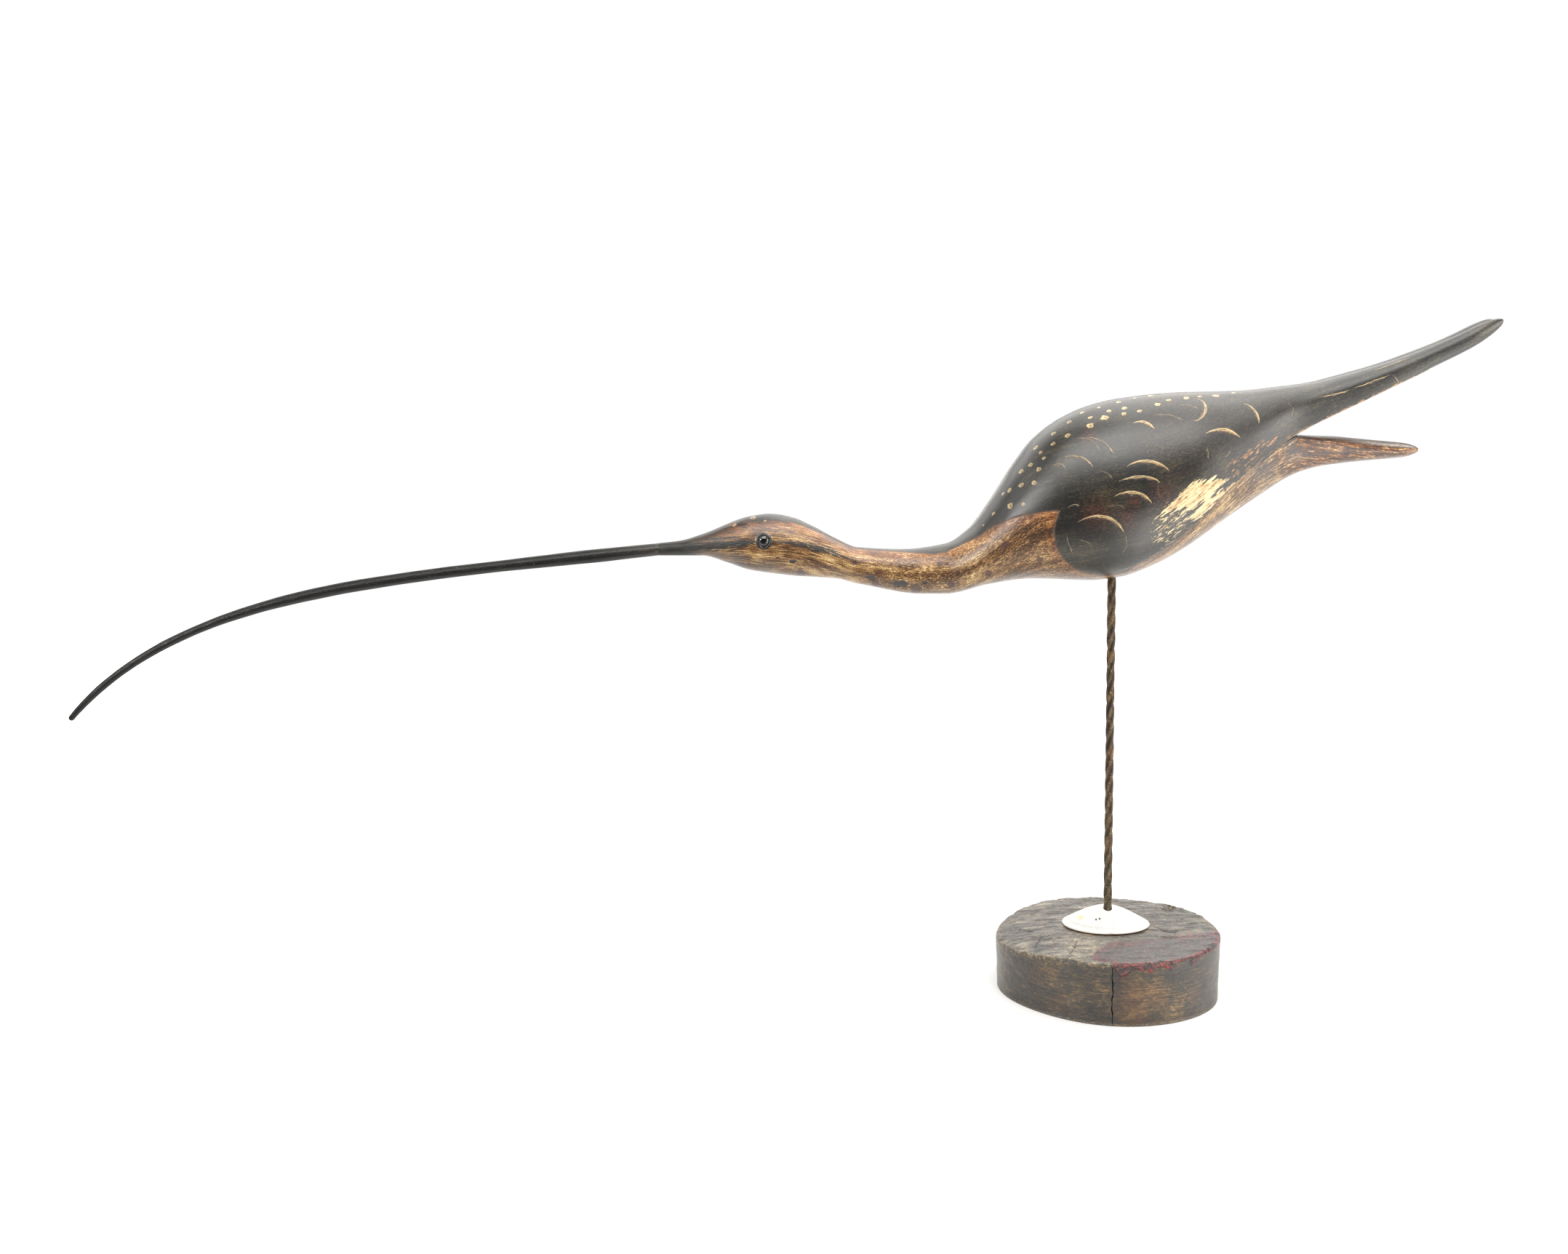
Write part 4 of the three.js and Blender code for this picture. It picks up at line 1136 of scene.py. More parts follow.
def laid_spot(f, s, n, name, shade, height):
    """A ragged dot of cream paint with a painted highlight on its upper front side, or a chip down to the
    grey ground.
    """
    across, up, _ = f.kept_parts(f"{name} place")
    gap, strength, _ = f.kept_parts(f"{name} tone")
    far = f.math("SQRT", across * across + up * up) + (n.dabs - 0.5) * 1.7
    share = far.step(1.05, 0.85) * gap.step(1.4, 1.1)
    # The dot is browner in its middle and cream at its rim, and lighter towards its upper front side as a
    # painted highlight
    pale = f.over((far + (up - across) * 0.3).step(0.1, 0.8), (158, 118, 66), s.cream)
    shade = f.over(share * strength.held() * n.hair.step(0.36, 0.5, 0.55, 1), shade, pale)
    chip = share * (strength * -1).held()
    return f.over(chip, shade, (46, 40, 37)), height - chip * 0.15


def worn_paint(f, n, shade):
    """Bare wood in slanting scratches, rubbed wing edges with painted shade in the crease under them, and
    how bare it is.
    """
    tilt = (0, math.radians(SCRATCH_TILT), 0)
    slanting = f.add("ShaderNodeMapping", {"Vector": f.place, "Rotation": tilt})
    scrape = f.noise(slanting, (0.07, 0.5, 0.75), 5, 0.6, 0.4)
    nicks = f.noise(slanting, (0.3, 1.1, 1.5), 4, 0.62, 0.5)
    worn, fleck, scratch = f.kept_parts("worn")
    bare = (worn + (scrape - 0.472) * 14 + (nicks - 0.5) * 5).step(-0.1, 0.3)
    bare = f.most(bare, fleck.step(-2, 1) * (fleck * 0.01 + scrape * 0.5 + nicks).step(0.84, 0.88))
    few = scratch.step(-1.5, 1.5) * (nicks * 0.6 + scrape).step(0.87, 0.93)
    wood = f.shades((nicks + scrape) * 0.5, (0.4, (92, 58, 30)), (0.44, (186, 138, 84)),
                    (0.49, (224, 190, 138)), (0.56, (240, 216, 168)))
    shade = f.over(few * 0.85, shade, f.over(nicks.step(0.42, 0.6), (112, 68, 36), (196, 138, 80)))
    shade = f.over(bare, shade, wood)
    edge = n.over_edge
    rub = n.middling * 2 + nicks * 4 + n.along.step(*RUBBED_EDGE) * 0.35 - edge * 0.8
    rubbed = f.over(n.hair.step(0.4, 0.6), (132, 84, 44), (214, 170, 110))
    shade = f.over(rub.step(2.75, 3.1) * edge.step(-0.3, 0.1) * 0.85, shade, rubbed)
    # Painted shade: a dark band just under the wing's edge, in the crease below the ledge
    crease_shade = edge.step(-2.2, -0.2) * edge.step(0.3, -0.05) * edge.step(-19, -15)
    return f.over(crease_shade * 0.9, shade, (26, 20, 15)), bare


def bird_finish(s, stroke_count, spot_count):
    """The carving's paints and wear under a varnish that is dull by the bill."""
    f = Finish("Painted carving", Coat_Roughness=0.2)
    n = bird_noises(f)
    n.dark_by = f.kept("dark")
    woven = mix(n.hair, n.cross, n.stipple.step(0.42, 0.56) * (n.breast * 0.6 + 0.15))
    n.grain = woven * 0.45 + mix(n.streak, n.drawn, n.along.step(*HEAD_PAINT) * 0.85) * 0.55
    brown, red = glazed_paint(f, s, n)
    dark, is_dark = dark_paint(f, s, n, red)
    shade, height = f.over(is_dark, brown, dark), is_dark * 0.05
    for i in range(stroke_count):
        shade, height = laid_stroke(f, s, n, f"stroke {i}", shade, height)
    for i in range(spot_count):
        shade, height = laid_spot(f, s, n, f"spot {i}", shade, height)
    shade, bare = worn_paint(f, n, shade)
    shade = f.over(n.along.step(*BILL_BLEND, 0, 0.6), shade, (20, 20, 19))
    shade = f.over((n.hair * 0.3 + f.kept("eye ring")).step(0.35, 0.55), shade, (26, 25, 24))
    rough = n.hair * 0.16 + is_dark.step(0, 1, 0.34, 0.27) + bare * 0.15
    rough += n.along.step(*DULL_FRONT, 0, 0.14)
    height += n.streak * 0.09 + n.hair * 0.035 - bare * 0.08
    return f.done(shade, rough, height, n.along.step(*THIN_COAT, 1, 0.35))


class DECOY_OT_bird(bpy.types.Operator):
    """Carve and paint the bird"""

    bl_idname = "decoy.bird"
    bl_label = "Carved bird"

    def execute(self, context):
        s, leg, bill = (getattr(context.scene, name) for name in ("decoy_bird", "decoy_leg", "decoy_bill"))
        percent = s.carving / 100
        front = Vector((HEAD_FRONT * percent, 0, s.belly + BILL_UP * percent))
        eye_low, eye_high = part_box("eye_left")
        eye = (eye_high.x - eye_low.x) / 2
        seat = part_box("eye_right")[0].y
        bars = [rod((0, 0, s.belly), (0, 0, 1), bar_reach(leg) + SOCKET_GAP, 2 * leg.in_body),
                rod(front, (1, 0, 0), bill.tenon / 2 + SOCKET_GAP, 2 * bill.tenon_reach)]
        for side in (-1, 1):
            place = eye_place(side)
            middle = (place.x, side * (seat + 5 * MM), place.z)
            bars.append(rod(middle, (0, 1, 0), eye + SOCKET_GAP, 10 * MM))
        piece, finder, flows, parts = build_bird(s)
        cut(piece, bars)

        mesh = piece.data
        points, normals = coordinates(mesh), coordinates(mesh, "normals")
        nearest = np.array([finder.find(p)[1] for p in points.tolist()])
        tree = BVHTree.FromObject(piece, bpy.context.evaluated_depsgraph_get())
        stroke_layers, spot_layers = paint_marks(mesh, points, tree)

        # The far side is mirrored to the near one, where the marks' pixels are
        pixels = seen(points * (1, 0, 1) - np.abs(points[:, 1:2]) * (0, 1, 0))
        along, upper = points[:, 0] / percent, parts[nearest] > 0.5
        by_skin = np.where(upper, np.where(along > NOTCH, 10, 1.2), -6)
        worn = [np.max([inside_by(pixels, area) for area in WORN_AREAS], axis=0),
                inside_by(pixels, FLECK_AREA), inside_by(pixels, SCRATCH_AREA)]
        far = np.min([np.linalg.norm((points - np.array(eye_place(side))) * (1, 0.55, 1), axis=1)
                      for side in (-1, 1)], axis=0)
        ring = np.where(far < eye + 4 * MM, soft(far, eye + 1.9 * MM, eye + 0.9 * MM), 0)
        fields = {
            "flow": flows[nearest],
            "dark": mix(inside_by(pixels, DARK_AREA), by_skin, soft(along, 0.8, 2.6)),
            "worn": np.where(upper[:, None], np.stack(worn, axis=1), -20),
            "stains": np.stack([stains(pixels, spots) for spots in
                                (RED_STAINS, PURPLE_STAINS, GREY_STAINS)], axis=1),
            "eye ring": ring,
        }
        for name, values in fields.items():
            keep_values(mesh, name, values)

        # Relief: a hand-carved unevenness, chips and the putty rings
        move = bumps(points, 22 * MM, 3) * 0.1 * MM
        for layer in spot_layers:
            place, tone = layer["place"], layer["tone"]
            size = np.hypot(place[:, 0], place[:, 1])
            move -= soft(size, 1.1, 0.8) * (tone[:, 1] < 0) * (tone[:, 0] < 1.2) * s.chip_depth
        swell = np.exp(-((far - eye - 0.75 * MM) / (0.6 * MM)) ** 2)
        move = np.where(far < eye + 3 * MM, swell * s.ring_height, move)
        socket = np.hypot(points[:, 0], points[:, 1]) < bar_reach(leg) + 0.3 * MM
        socket |= (np.hypot(points[:, 1], points[:, 2] - front.z) < bill.tenon) & (along < HEAD_FRONT + 5)
        socket |= (far < eye + 0.1 * MM) | (along < HEAD_FRONT + 0.3)
        move_points(mesh, points + normals * np.where(socket, 0, move)[:, None])
        settle(piece, ["carved_bird"], bird_finish(s, len(stroke_layers), len(spot_layers)))
        return {"FINISHED"}


def bar_reach(leg):
    """The reach of the bar's worn corners from its axis."""
    return (leg.thickness / 2 - leg.corner) * math.sqrt(2) + leg.corner


def grown(name, tree, values, mesh=None):
    """A piece that a Geometry Nodes tree makes from named inputs."""
    piece = bpy.data.objects.new(name, mesh or bpy.data.meshes.new(name))
    bpy.context.scene.collection.objects.link(piece)
    modifier = piece.modifiers.new(name, "NODES")
    modifier.node_group = tree
    for socket in tree.interface.items_tree:
        if socket.in_out == "INPUT" and socket.name in values:
            modifier[socket.identifier] = values[socket.name]
    finalise(piece)
    return piece


def form_tree(name, numbers, whole=()):
    """An empty Geometry Nodes tree with named inputs, its builder and its inputs by name."""
    tree = bpy.data.node_groups.new(name, "GeometryNodeTree")
    tree.interface.new_socket(name="Geometry", in_out="INPUT", socket_type="NodeSocketGeometry")
    for number in numbers:
        kind = "NodeSocketInt" if number in whole else "NodeSocketFloat"
        tree.interface.new_socket(name=number, in_out="INPUT", socket_type=kind)
    tree.interface.new_socket(name="Geometry", in_out="OUTPUT", socket_type="NodeSocketGeometry")
    b = Tree(tree)
    sockets = b.nodes.new("NodeGroupInput").outputs
    return tree, b, {name: Value(b, sockets[name]) for name in ("Geometry", *numbers)}



def bar_tree(material):
    """A square bar with worn corners, twisted about its own axis and hammered."""
    tree, b, at = form_tree("Twisted bar", ("Bottom", "Top", "Thickness", "Corner", "Turn", "Hammering"))
    line = b.form("CurvePrimitiveLine", Start=b.joined(0, 0, at["Bottom"]), End=b.joined(0, 0, at["Top"]))
    line = b.form("ResampleCurve", Curve=line, Count=560)
    turned = b.form("SplineParameter", "Length") / at["Turn"] * (2 * math.pi)
    line = b.form("SetCurveTilt", Curve=line, Tilt=turned)
    square = b.form("CurvePrimitiveQuadrilateral", Width=at["Thickness"], Height=at["Thickness"])
    square = b.add("GeometryNodeFilletCurve", {"Curve": square, "Count": 7, "Radius": at["Corner"]},
                   mode="POLY")
    square = b.form("ResampleCurve", Curve=square, Count=40)
    reach = b.reach(b.form("InputPosition"))
    square = b.form("StoreNamedAttribute", Geometry=square, Name="reach", Value=reach)
    bar = b.form("CurveToMesh", Curve=line, Profile_Curve=square, Fill_Caps=True)
    place = b.form("InputPosition")
    dents = b.noise(place, 240, 2) - 0.5 + (b.noise(place, 1100, 2) - 0.5) * 0.35
    b.finish(bar, dents * at["Hammering"], material)
    return tree


def leg_finish(s):
    """Brown iron, darker on the flats of the twist and lighter on its worn corners, partly rust and wear and
    partly a painted shade and highlight, with flakes of old paint.
    """
    f = Finish("Rusty iron", Metallic=0.35)
    corner = (f.kept("reach") / (s.thickness / 2)).step(1, 1.15)
    blotch = f.noise(f.place, (0.42, 0.42, 0.189), 4, 0.6)
    speck = f.noise(f.place, 2.4, 3, 0.6)
    # Painted shade and highlight along the twist: the flats take the darker groove colour and the worn
    # corners the lighter iron
    shade = f.over(blotch.step(0.5, 0.7), f.over(corner * 0.8, s.grooves, s.iron), (112, 80, 52))
    flake = speck.step(0.53, 0.62) * blotch.step(0.42, 0.56) * corner.step(0, 1, 0.45, 1)
    shade = f.over(flake, shade, s.flakes)
    low = f.parts(f.place)[2].step(120, 50) * speck.step(0.5, 0.62)
    shade = f.over(low * 0.5, shade, (150, 150, 118))
    return f.done(shade, speck.step(0.3, 0.7, 0.5, 0.8), speck * 0.16 + blotch * 0.2)


class DECOY_OT_leg(bpy.types.Operator):
    """Forge the twisted iron leg"""

    bl_idname = "decoy.leg"
    bl_label = "Twisted leg"

    def execute(self, context):
        s, bird = context.scene.decoy_leg, context.scene.decoy_bird
        base = context.scene.decoy_base
        material = leg_finish(s)
        values = {"Bottom": base.thickness - s.in_base, "Top": bird.belly + s.in_body,
                  "Thickness": s.thickness, "Corner": s.corner, "Turn": s.turn, "Hammering": 0.22 * MM}
        settle(grown("leg_rod", bar_tree(material), values), ["leg_rod"], material)
        return {"FINISHED"}


def bill_line(s, bird):
    """Points, radii and lengths along the bill, from the tenon's end to the tip."""
    percent = bird.carving / 100
    x, z = HEAD_FRONT * percent - 0.02 * MM, bird.belly + BILL_UP * percent
    widths = smooth_line(((0, s.root), (0.1, s.full), (0.3, s.full * 0.86), (0.52, s.full * 0.9),
                          (0.7, s.full * 0.7), (0.93, s.full * 0.59), (1, s.tip)))
    places = [(x + s.tenon_reach, z, s.tenon / 2), (x + 1e-6, z, s.tenon / 2), (x, z, s.root / 2)]
    x -= 0.28 * MM
    steps = 300
    tip_angle = droop(1)
    stride = (1 - s.tip / 2 / s.reach) / steps
    for step in range(steps + 1):
        places.append((x, z, float(widths(step * stride)) / 2))
        if step < steps:
            ahead = droop((step + 0.5) * stride)
            x -= stride * s.reach * math.cos(ahead)
            z -= stride * s.reach * math.sin(ahead)
    for turn in range(10, 90, 10):
        far = s.tip / 2 * math.sin(math.radians(turn))
        places.append((x - far * math.cos(tip_angle), z - far * math.sin(tip_angle),
                       s.tip / 2 * math.cos(math.radians(turn))))
    return places


def droop(share):
    """How steeply the bill goes down, a share of the way from its root to its tip."""
    return math.radians(6 + 44.5 * share ** 3.3)


def bill_tree(material):
    """A bill whittled to soft flats along a line that carries its radius."""
    tree, b, at = form_tree("Whittled bill", ("Flats", "Flat depth", "Unevenness"))
    way = b.form("SplineParameter", "Length")
    line = b.add("GeometryNodeMeshToCurve", {0: at["Geometry"]})
    line = b.form("StoreNamedAttribute", Geometry=line, Name="way", Value=way)
    circle = b.form("CurvePrimitiveCircle", Resolution=64, Radius=1)
    flats = b.wave(b.form("SplineParameter") * (2 * math.pi), at["Flats"])
    place = b.scaled(b.form("InputPosition"), 1 - flats * at["Flat depth"])
    circle = b.form("SetPosition", Geometry=circle, Position=place)
    inputs = {"Geometry": circle, "Name": "section", "Value": b.form("InputPosition")}
    circle = b.add("GeometryNodeStoreNamedAttribute", inputs, data_type="FLOAT_VECTOR")
    radius = b.form("InputNamedAttribute", Name="radius here")
    bill = b.form("CurveToMesh", Curve=line, Profile_Curve=circle, Scale=radius, Fill_Caps=True)
    uneven = b.noise(b.form("InputPosition"), (26, 110, 110), 2) - 0.62
    uneven *= b.form("InputNamedAttribute", Name="way").step(0.015, 0.05)
    b.finish(bill, uneven * at["Unevenness"], material)
    return tree


def bill_finish(s):
    """Black paint, rubbed along the grain and browner towards the head."""
    f = Finish("Painted bill", Coat_Roughness=0.24, Specular_IOR_Level=0.3)
    way = f.kept("way") / MM
    flow = f.joined(way, *(part * (s.full / 2 / MM) for part in f.kept_parts("section")[:2]))
    streak = f.noise(flow, (0.1, 1.6, 1.6), 4, 0.62)
    fine = f.noise(flow, (0.5, 3.5, 3.5), 2)
    shade = f.over(streak.step(0.52, 0.7), s.paint, s.rubbed)
    shade = f.over(way.step(55, 0, 0, 0.6), shade, (62, 60, 55))
    shade = f.over(way.step(60, 16) * streak.step(0.56, 0.66) * 0.5, shade, (104, 84, 60))
    shade = f.over(f.noise(flow, 0.9, 2).step(0.73, 0.77) * 0.6, shade, (150, 140, 124))
    relief = streak * 0.14 + fine * 0.04
    return f.done(shade, fine.step(0.3, 0.7, 0.4, 0.56), relief, way.step(60, 0, 0.4, 0.75))


class DECOY_OT_bill(bpy.types.Operator):
    """Whittle the long down-curved bill"""

    bl_idname = "decoy.bill"
    bl_label = "Bill"

    def execute(self, context):
        s = context.scene.decoy_bill
        places = bill_line(s, context.scene.decoy_bird)
        mesh = bpy.data.meshes.new("bill line")
        mesh.from_pydata([(x, 0, z) for x, z, _ in places], [(i, i + 1) for i in range(len(places) - 1)], [])
        keep_values(mesh, "radius here", np.array([radius for _, _, radius in places]))
        material = bill_finish(s)
        values = {"Flats": 8.0, "Flat depth": 0.02, "Unevenness": 0.55 * MM}
        settle(grown("bill", bill_tree(material), values, mesh), ["bill"], material)
        return {"FINISHED"}


def eye_finish(s):
    """Clear glass over a black pupil, a pale iris and a dark rim."""
    f = Finish("Glass eye", Coat_Weight=1.0, Coat_Roughness=0.02, IOR=1.52)
    far, pupil = f.kept("reach"), s.pupil / 2 / MM
    shade = f.over(far.step(pupil - 0.15, pupil + 0.1), s.black, s.iris)
    return f.done(f.over(far.step(2.65, 2.9), shade, (16, 14, 12)), 0.06)


class DECOY_OT_eyes(bpy.types.Operator):
    """Set the two glass eyes"""

    bl_idname = "decoy.eyes"
    bl_label = "Glass eyes"

    def execute(self, context):
        s = context.scene.decoy_eye
        material = eye_finish(s)
        for side, name in ((-1, "eye_left"), (1, "eye_right")):
            low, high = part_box(name)
            radius, middle = (high.x - low.x) / 2, (low + high) / 2
            back, front = (high.y, low.y) if side < 0 else (low.y, high.y)
            turns = np.linspace(0, 2 * math.pi, 64, endpoint=False)
            profile = [(radius * share, 0.0) for share in (0.3, 0.7, 0.97)] + [(radius, 0.03)]
            profile += [(radius * math.cos(t), 0.47 + 0.53 * math.sin(t))
                        for t in np.linspace(0, math.pi / 2, 26)[:-1]]
            rings = np.array([[(middle.x + r * math.cos(t), mix(back, front, out),
                                middle.z + r * math.sin(t)) for t in turns] for r, out in profile])
            piece = lofted(name, rings)
            points = coordinates(piece.data)
            keep_values(piece.data, "reach", np.hypot(points[:, 0] - middle.x, points[:, 2] - middle.z) / MM)
            settle(piece, [name], material)
        return {"FINISHED"}


def rib_tree(material):
    """Fine ribs that stand out of a shell, round its crown."""
    tree, b, at = form_tree("Shell ribs", ("Ribs", "Rib depth"), whole=("Ribs",))
    share = b.form("InputNamedAttribute", Name="ribbed")
    rib = b.wave(b.form("InputNamedAttribute", Name="angle"), at["Ribs"]) * share
    shell = b.form("StoreNamedAttribute", Geometry=at["Geometry"], Name="rib", Value=rib)
    b.finish(shell, (rib - share) * at["Rib depth"], material)
    return tree


def shell_finish(s):
    """White ribs over grooves painted grey as shade, with a growth line and a brown margin."""
    f = Finish("Sea shell", Subsurface_Weight=0.15, Subsurface_Scale=0.002)
    rib, reach, ribbed = (f.kept(name) for name in ("rib", "reach", "ribbed"))
    cloud = f.noise(f.place, 0.25)
    # Painted shade: the grooves between the ribs are greyer, more so towards the front
    shade = f.over(rib.step(0.55, 0.1) * ribbed * cloud.step(0.4, 0.65, 0.3, 0.6), s.white, s.shade)
    shade = f.over(reach.step(0.82, 0.86) * reach.step(0.9, 0.87) * 0.3, shade, s.shade)
    dark, yellow, _ = f.kept_parts("spots")
    shade = f.over(dark.step(0.3, 0.6), shade, (84, 72, 50))
    shade = f.over(yellow * 0.6, shade, (214, 200, 130))
    shade = f.over(f.parts(f.place)[2].step(35.7, 35.2) * 0.75, shade, s.stain)
    return f.done(shade, cloud.step(0.3, 0.7, 0.32, 0.5), cloud * 0.1)


class DECOY_OT_shell(bpy.types.Operator):
    """Lay the ribbed sea shell round the leg"""

    bl_idname = "decoy.shell"
    bl_label = "Sea shell"

    def execute(self, context):
        s, leg = context.scene.decoy_shell, context.scene.decoy_leg
        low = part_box("shell")[0].z
        turns = np.linspace(0, 2 * math.pi, s.ribs * 6, endpoint=False)
        reaches = np.concatenate([np.linspace(0.03, 0.9, 34), np.linspace(0.9, 0.985, 7)[1:]])
        crown = 1 - ((np.hypot(reaches, 0.2) - 0.2) / (math.hypot(1, 0.2) - 0.2)) ** 1.2

        # From the hollow's middle, round the margin and up to the crown. A ring is its reach, its
        # height and how far it is inside the outer skin
        margin = s.wall * 0.8
        growth_line = 0.22 * MM * np.exp(-((reaches - 0.86) / 0.008) ** 2)
        outside = np.stack([reaches, margin + (s.high - margin) * crown - growth_line, reaches * 0], axis=1)
        inside = np.stack([reaches, (s.high - s.wall * 1.25) * crown, np.full_like(reaches, s.wall)], axis=1)
        rim = [(1, 0, s.wall), (1, 0, margin / 2), (1, margin * 0.4, 0), (1, margin, 0)]
        skin = np.concatenate([inside[::3], rim, outside[::-1]])
        reach, up, wall = (column(values) for values in skin.T)
        wave = 1 + 0.012 * np.sin(turns * 3 + 1) * reach
        middle = mix(3 * MM, 6 * MM, reach)
        rings = np.stack([(s.wide / 2 - wall) * reach * np.cos(turns) * wave,
                          (s.deep / 2 - wall) * reach * np.sin(turns) * wave + middle,
                          low + up + turns * 0], axis=2)
        piece = lofted("shell", rings)

        mesh = piece.data
        points = coordinates(mesh)
        finder = finder_of(rings.reshape(-1, 3))
        row, turn = np.divmod([finder.find(p)[1] for p in points.tolist()], len(turns))
        angle, reach = turns[turn], skin[row, 0]
        on_top = row >= len(skin) - len(reaches) - 1
        front = mix(0.55, 1.0, soft(-np.sin(angle) + 0.3 * np.cos(angle + 2.2), -0.4, 0.6))
        pixels = seen(points)
        dark = sum(np.exp(-(np.linalg.norm(pixels - spot, axis=1) / 1.6) ** 2) for spot in SHELL_SPECKS)
        yellow = np.exp(-(np.linalg.norm((pixels - SHELL_STAIN) * (0.6, 1), axis=1) / 3) ** 2)
        keep_values(mesh, "angle", angle)
        keep_values(mesh, "reach", reach * on_top)
        # How ribbed: the ribs stand out here, and their grooves are painted in shade, more towards the front
        keep_values(mesh, "ribbed", soft(reach, 0.12, 0.5) * front * on_top)
        keep_values(mesh, "spots", np.stack([dark, yellow, yellow * 0], axis=1) * on_top[:, None])
        material = shell_finish(s)
        bpy.data.objects.remove(piece)
        piece = grown("shell", rib_tree(material), {"Ribs": s.ribs, "Rib depth": s.rib_depth}, mesh)
        cut(piece, [rod((0, 0, low + s.high / 2), (0, 0, 1), bar_reach(leg) + 0.15 * MM, 4 * s.high)])
        settle(piece, ["shell"], material)
        return {"FINISHED"}


def rim_radius(s, angles):
    """The base is round but for shallow flats hewn on its rim."""
    radius = np.full_like(angles, s.diameter / 2)
    for at, depth, sharpness in BASE_FLATS:
        radius -= depth * MM * np.cos(angles - math.radians(at)).clip(0) ** sharpness
    return radius


def top_height(s, x):
    """The top is level under the shell, falls to the left and rises a little to the right."""
    seat, radius = 26.5 * MM, s.diameter / 2
    left, right = ramp(-x, seat, radius) ** 1.3, ramp(x, seat, radius)
    return s.thickness - BASE_LEFT_DROP * MM * left + BASE_RIGHT_RISE * MM * right


def base_rings(s, leg):
    """The base's skin from the middle of its underside, up the side and in to the leg's socket."""
    split = math.radians(SPLIT_AT)
    angles = np.linspace(0, 2 * math.pi, 500, endpoint=False) - math.pi
    close = split + np.linspace(-1, 1, 33) ** 3 * math.radians(4)
    angles = np.concatenate([angles[np.abs(angles - split) > math.radians(4.1)], close])
    angles.sort()
    radius = rim_radius(s, angles)
    around = np.stack([np.cos(angles), np.sin(angles)], axis=1)

    def ring(reach, height=None, below=0.0):
        flat = around * np.maximum(reach, 0.4 * MM)[:, None]
        up = top_height(s, flat[:, 0]) - below if height is None else np.full(len(angles), height)
        return np.column_stack([flat, up])

    edge = BASE_EDGE * MM
    rings = [ring(radius * share, 0.0) for share in (0.2, 0.5, 0.8, 0.94)]
    for turn in np.linspace(0, math.pi / 2, 7)[:-1]:
        rings.append(ring(radius - 1 * MM - 1 * MM * (1 - math.sin(turn)), 1 * MM * (1 - math.cos(turn))))
    for share in np.linspace(0, 1, 50):
        side = ring(radius - mix(1 * MM, 0, share), None, edge)
        side[:, 2] = mix(1 * MM, side[:, 2], share)
        rings.append(side)
    for turn in np.linspace(0, math.pi / 2, 9)[1:]:
        rings.append(ring(radius - edge * (1 - math.cos(turn)), None, edge * (1 - math.sin(turn))))
    hole = bar_reach(leg) + 0.1 * MM
    for share in np.linspace(1, 0, 74)[1:]:
        rings.append(ring(mix(np.full_like(radius, hole), radius - edge, share)))
    for depth in (0.4, 6, leg.in_base / MM):
        rings.append(ring(np.full_like(radius, hole), s.thickness - depth * MM))
    return np.array(rings)


def base_fields(points, normals):
    """Where the spilt varnish, ochre patches, cracks and knots lie, from the frame's pixels."""
    pixels = seen(points)
    hidden = np.einsum("ps,ps->p", normals, points - CAMERA_PLACE) > 0
    varnish = np.where(hidden, -30, inside_by(pixels, VARNISH_AREA))
    ochre = np.where(hidden, 0, stains(pixels, OCHRE_PATCHES))
    crack = np.full(len(points), 30.0)
    for line in TOP_CRACKS:
        for a, b in zip(np.array(line[:-1], float), np.array(line[1:], float)):
            away = pixels - a
            share = np.clip(away @ (b - a) / ((b - a) @ (b - a)), 0, 1)
            gap = np.linalg.norm(away - share[:, None] * (b - a), axis=1) * PIXEL_SIZE
            crack = np.minimum(crack, gap)
    knot = np.zeros(len(points))
    for middle, reach, depth in KNOTS:
        far = np.linalg.norm((pixels - middle) * (1, 2.0), axis=1) * PIXEL_SIZE
        knot = np.maximum(knot, depth * np.exp(-(far / reach) ** 2))
    hidden |= normals[:, 2] < 0.3
    return varnish, ochre, np.where(hidden, 30, crack), np.where(hidden, 0, knot)


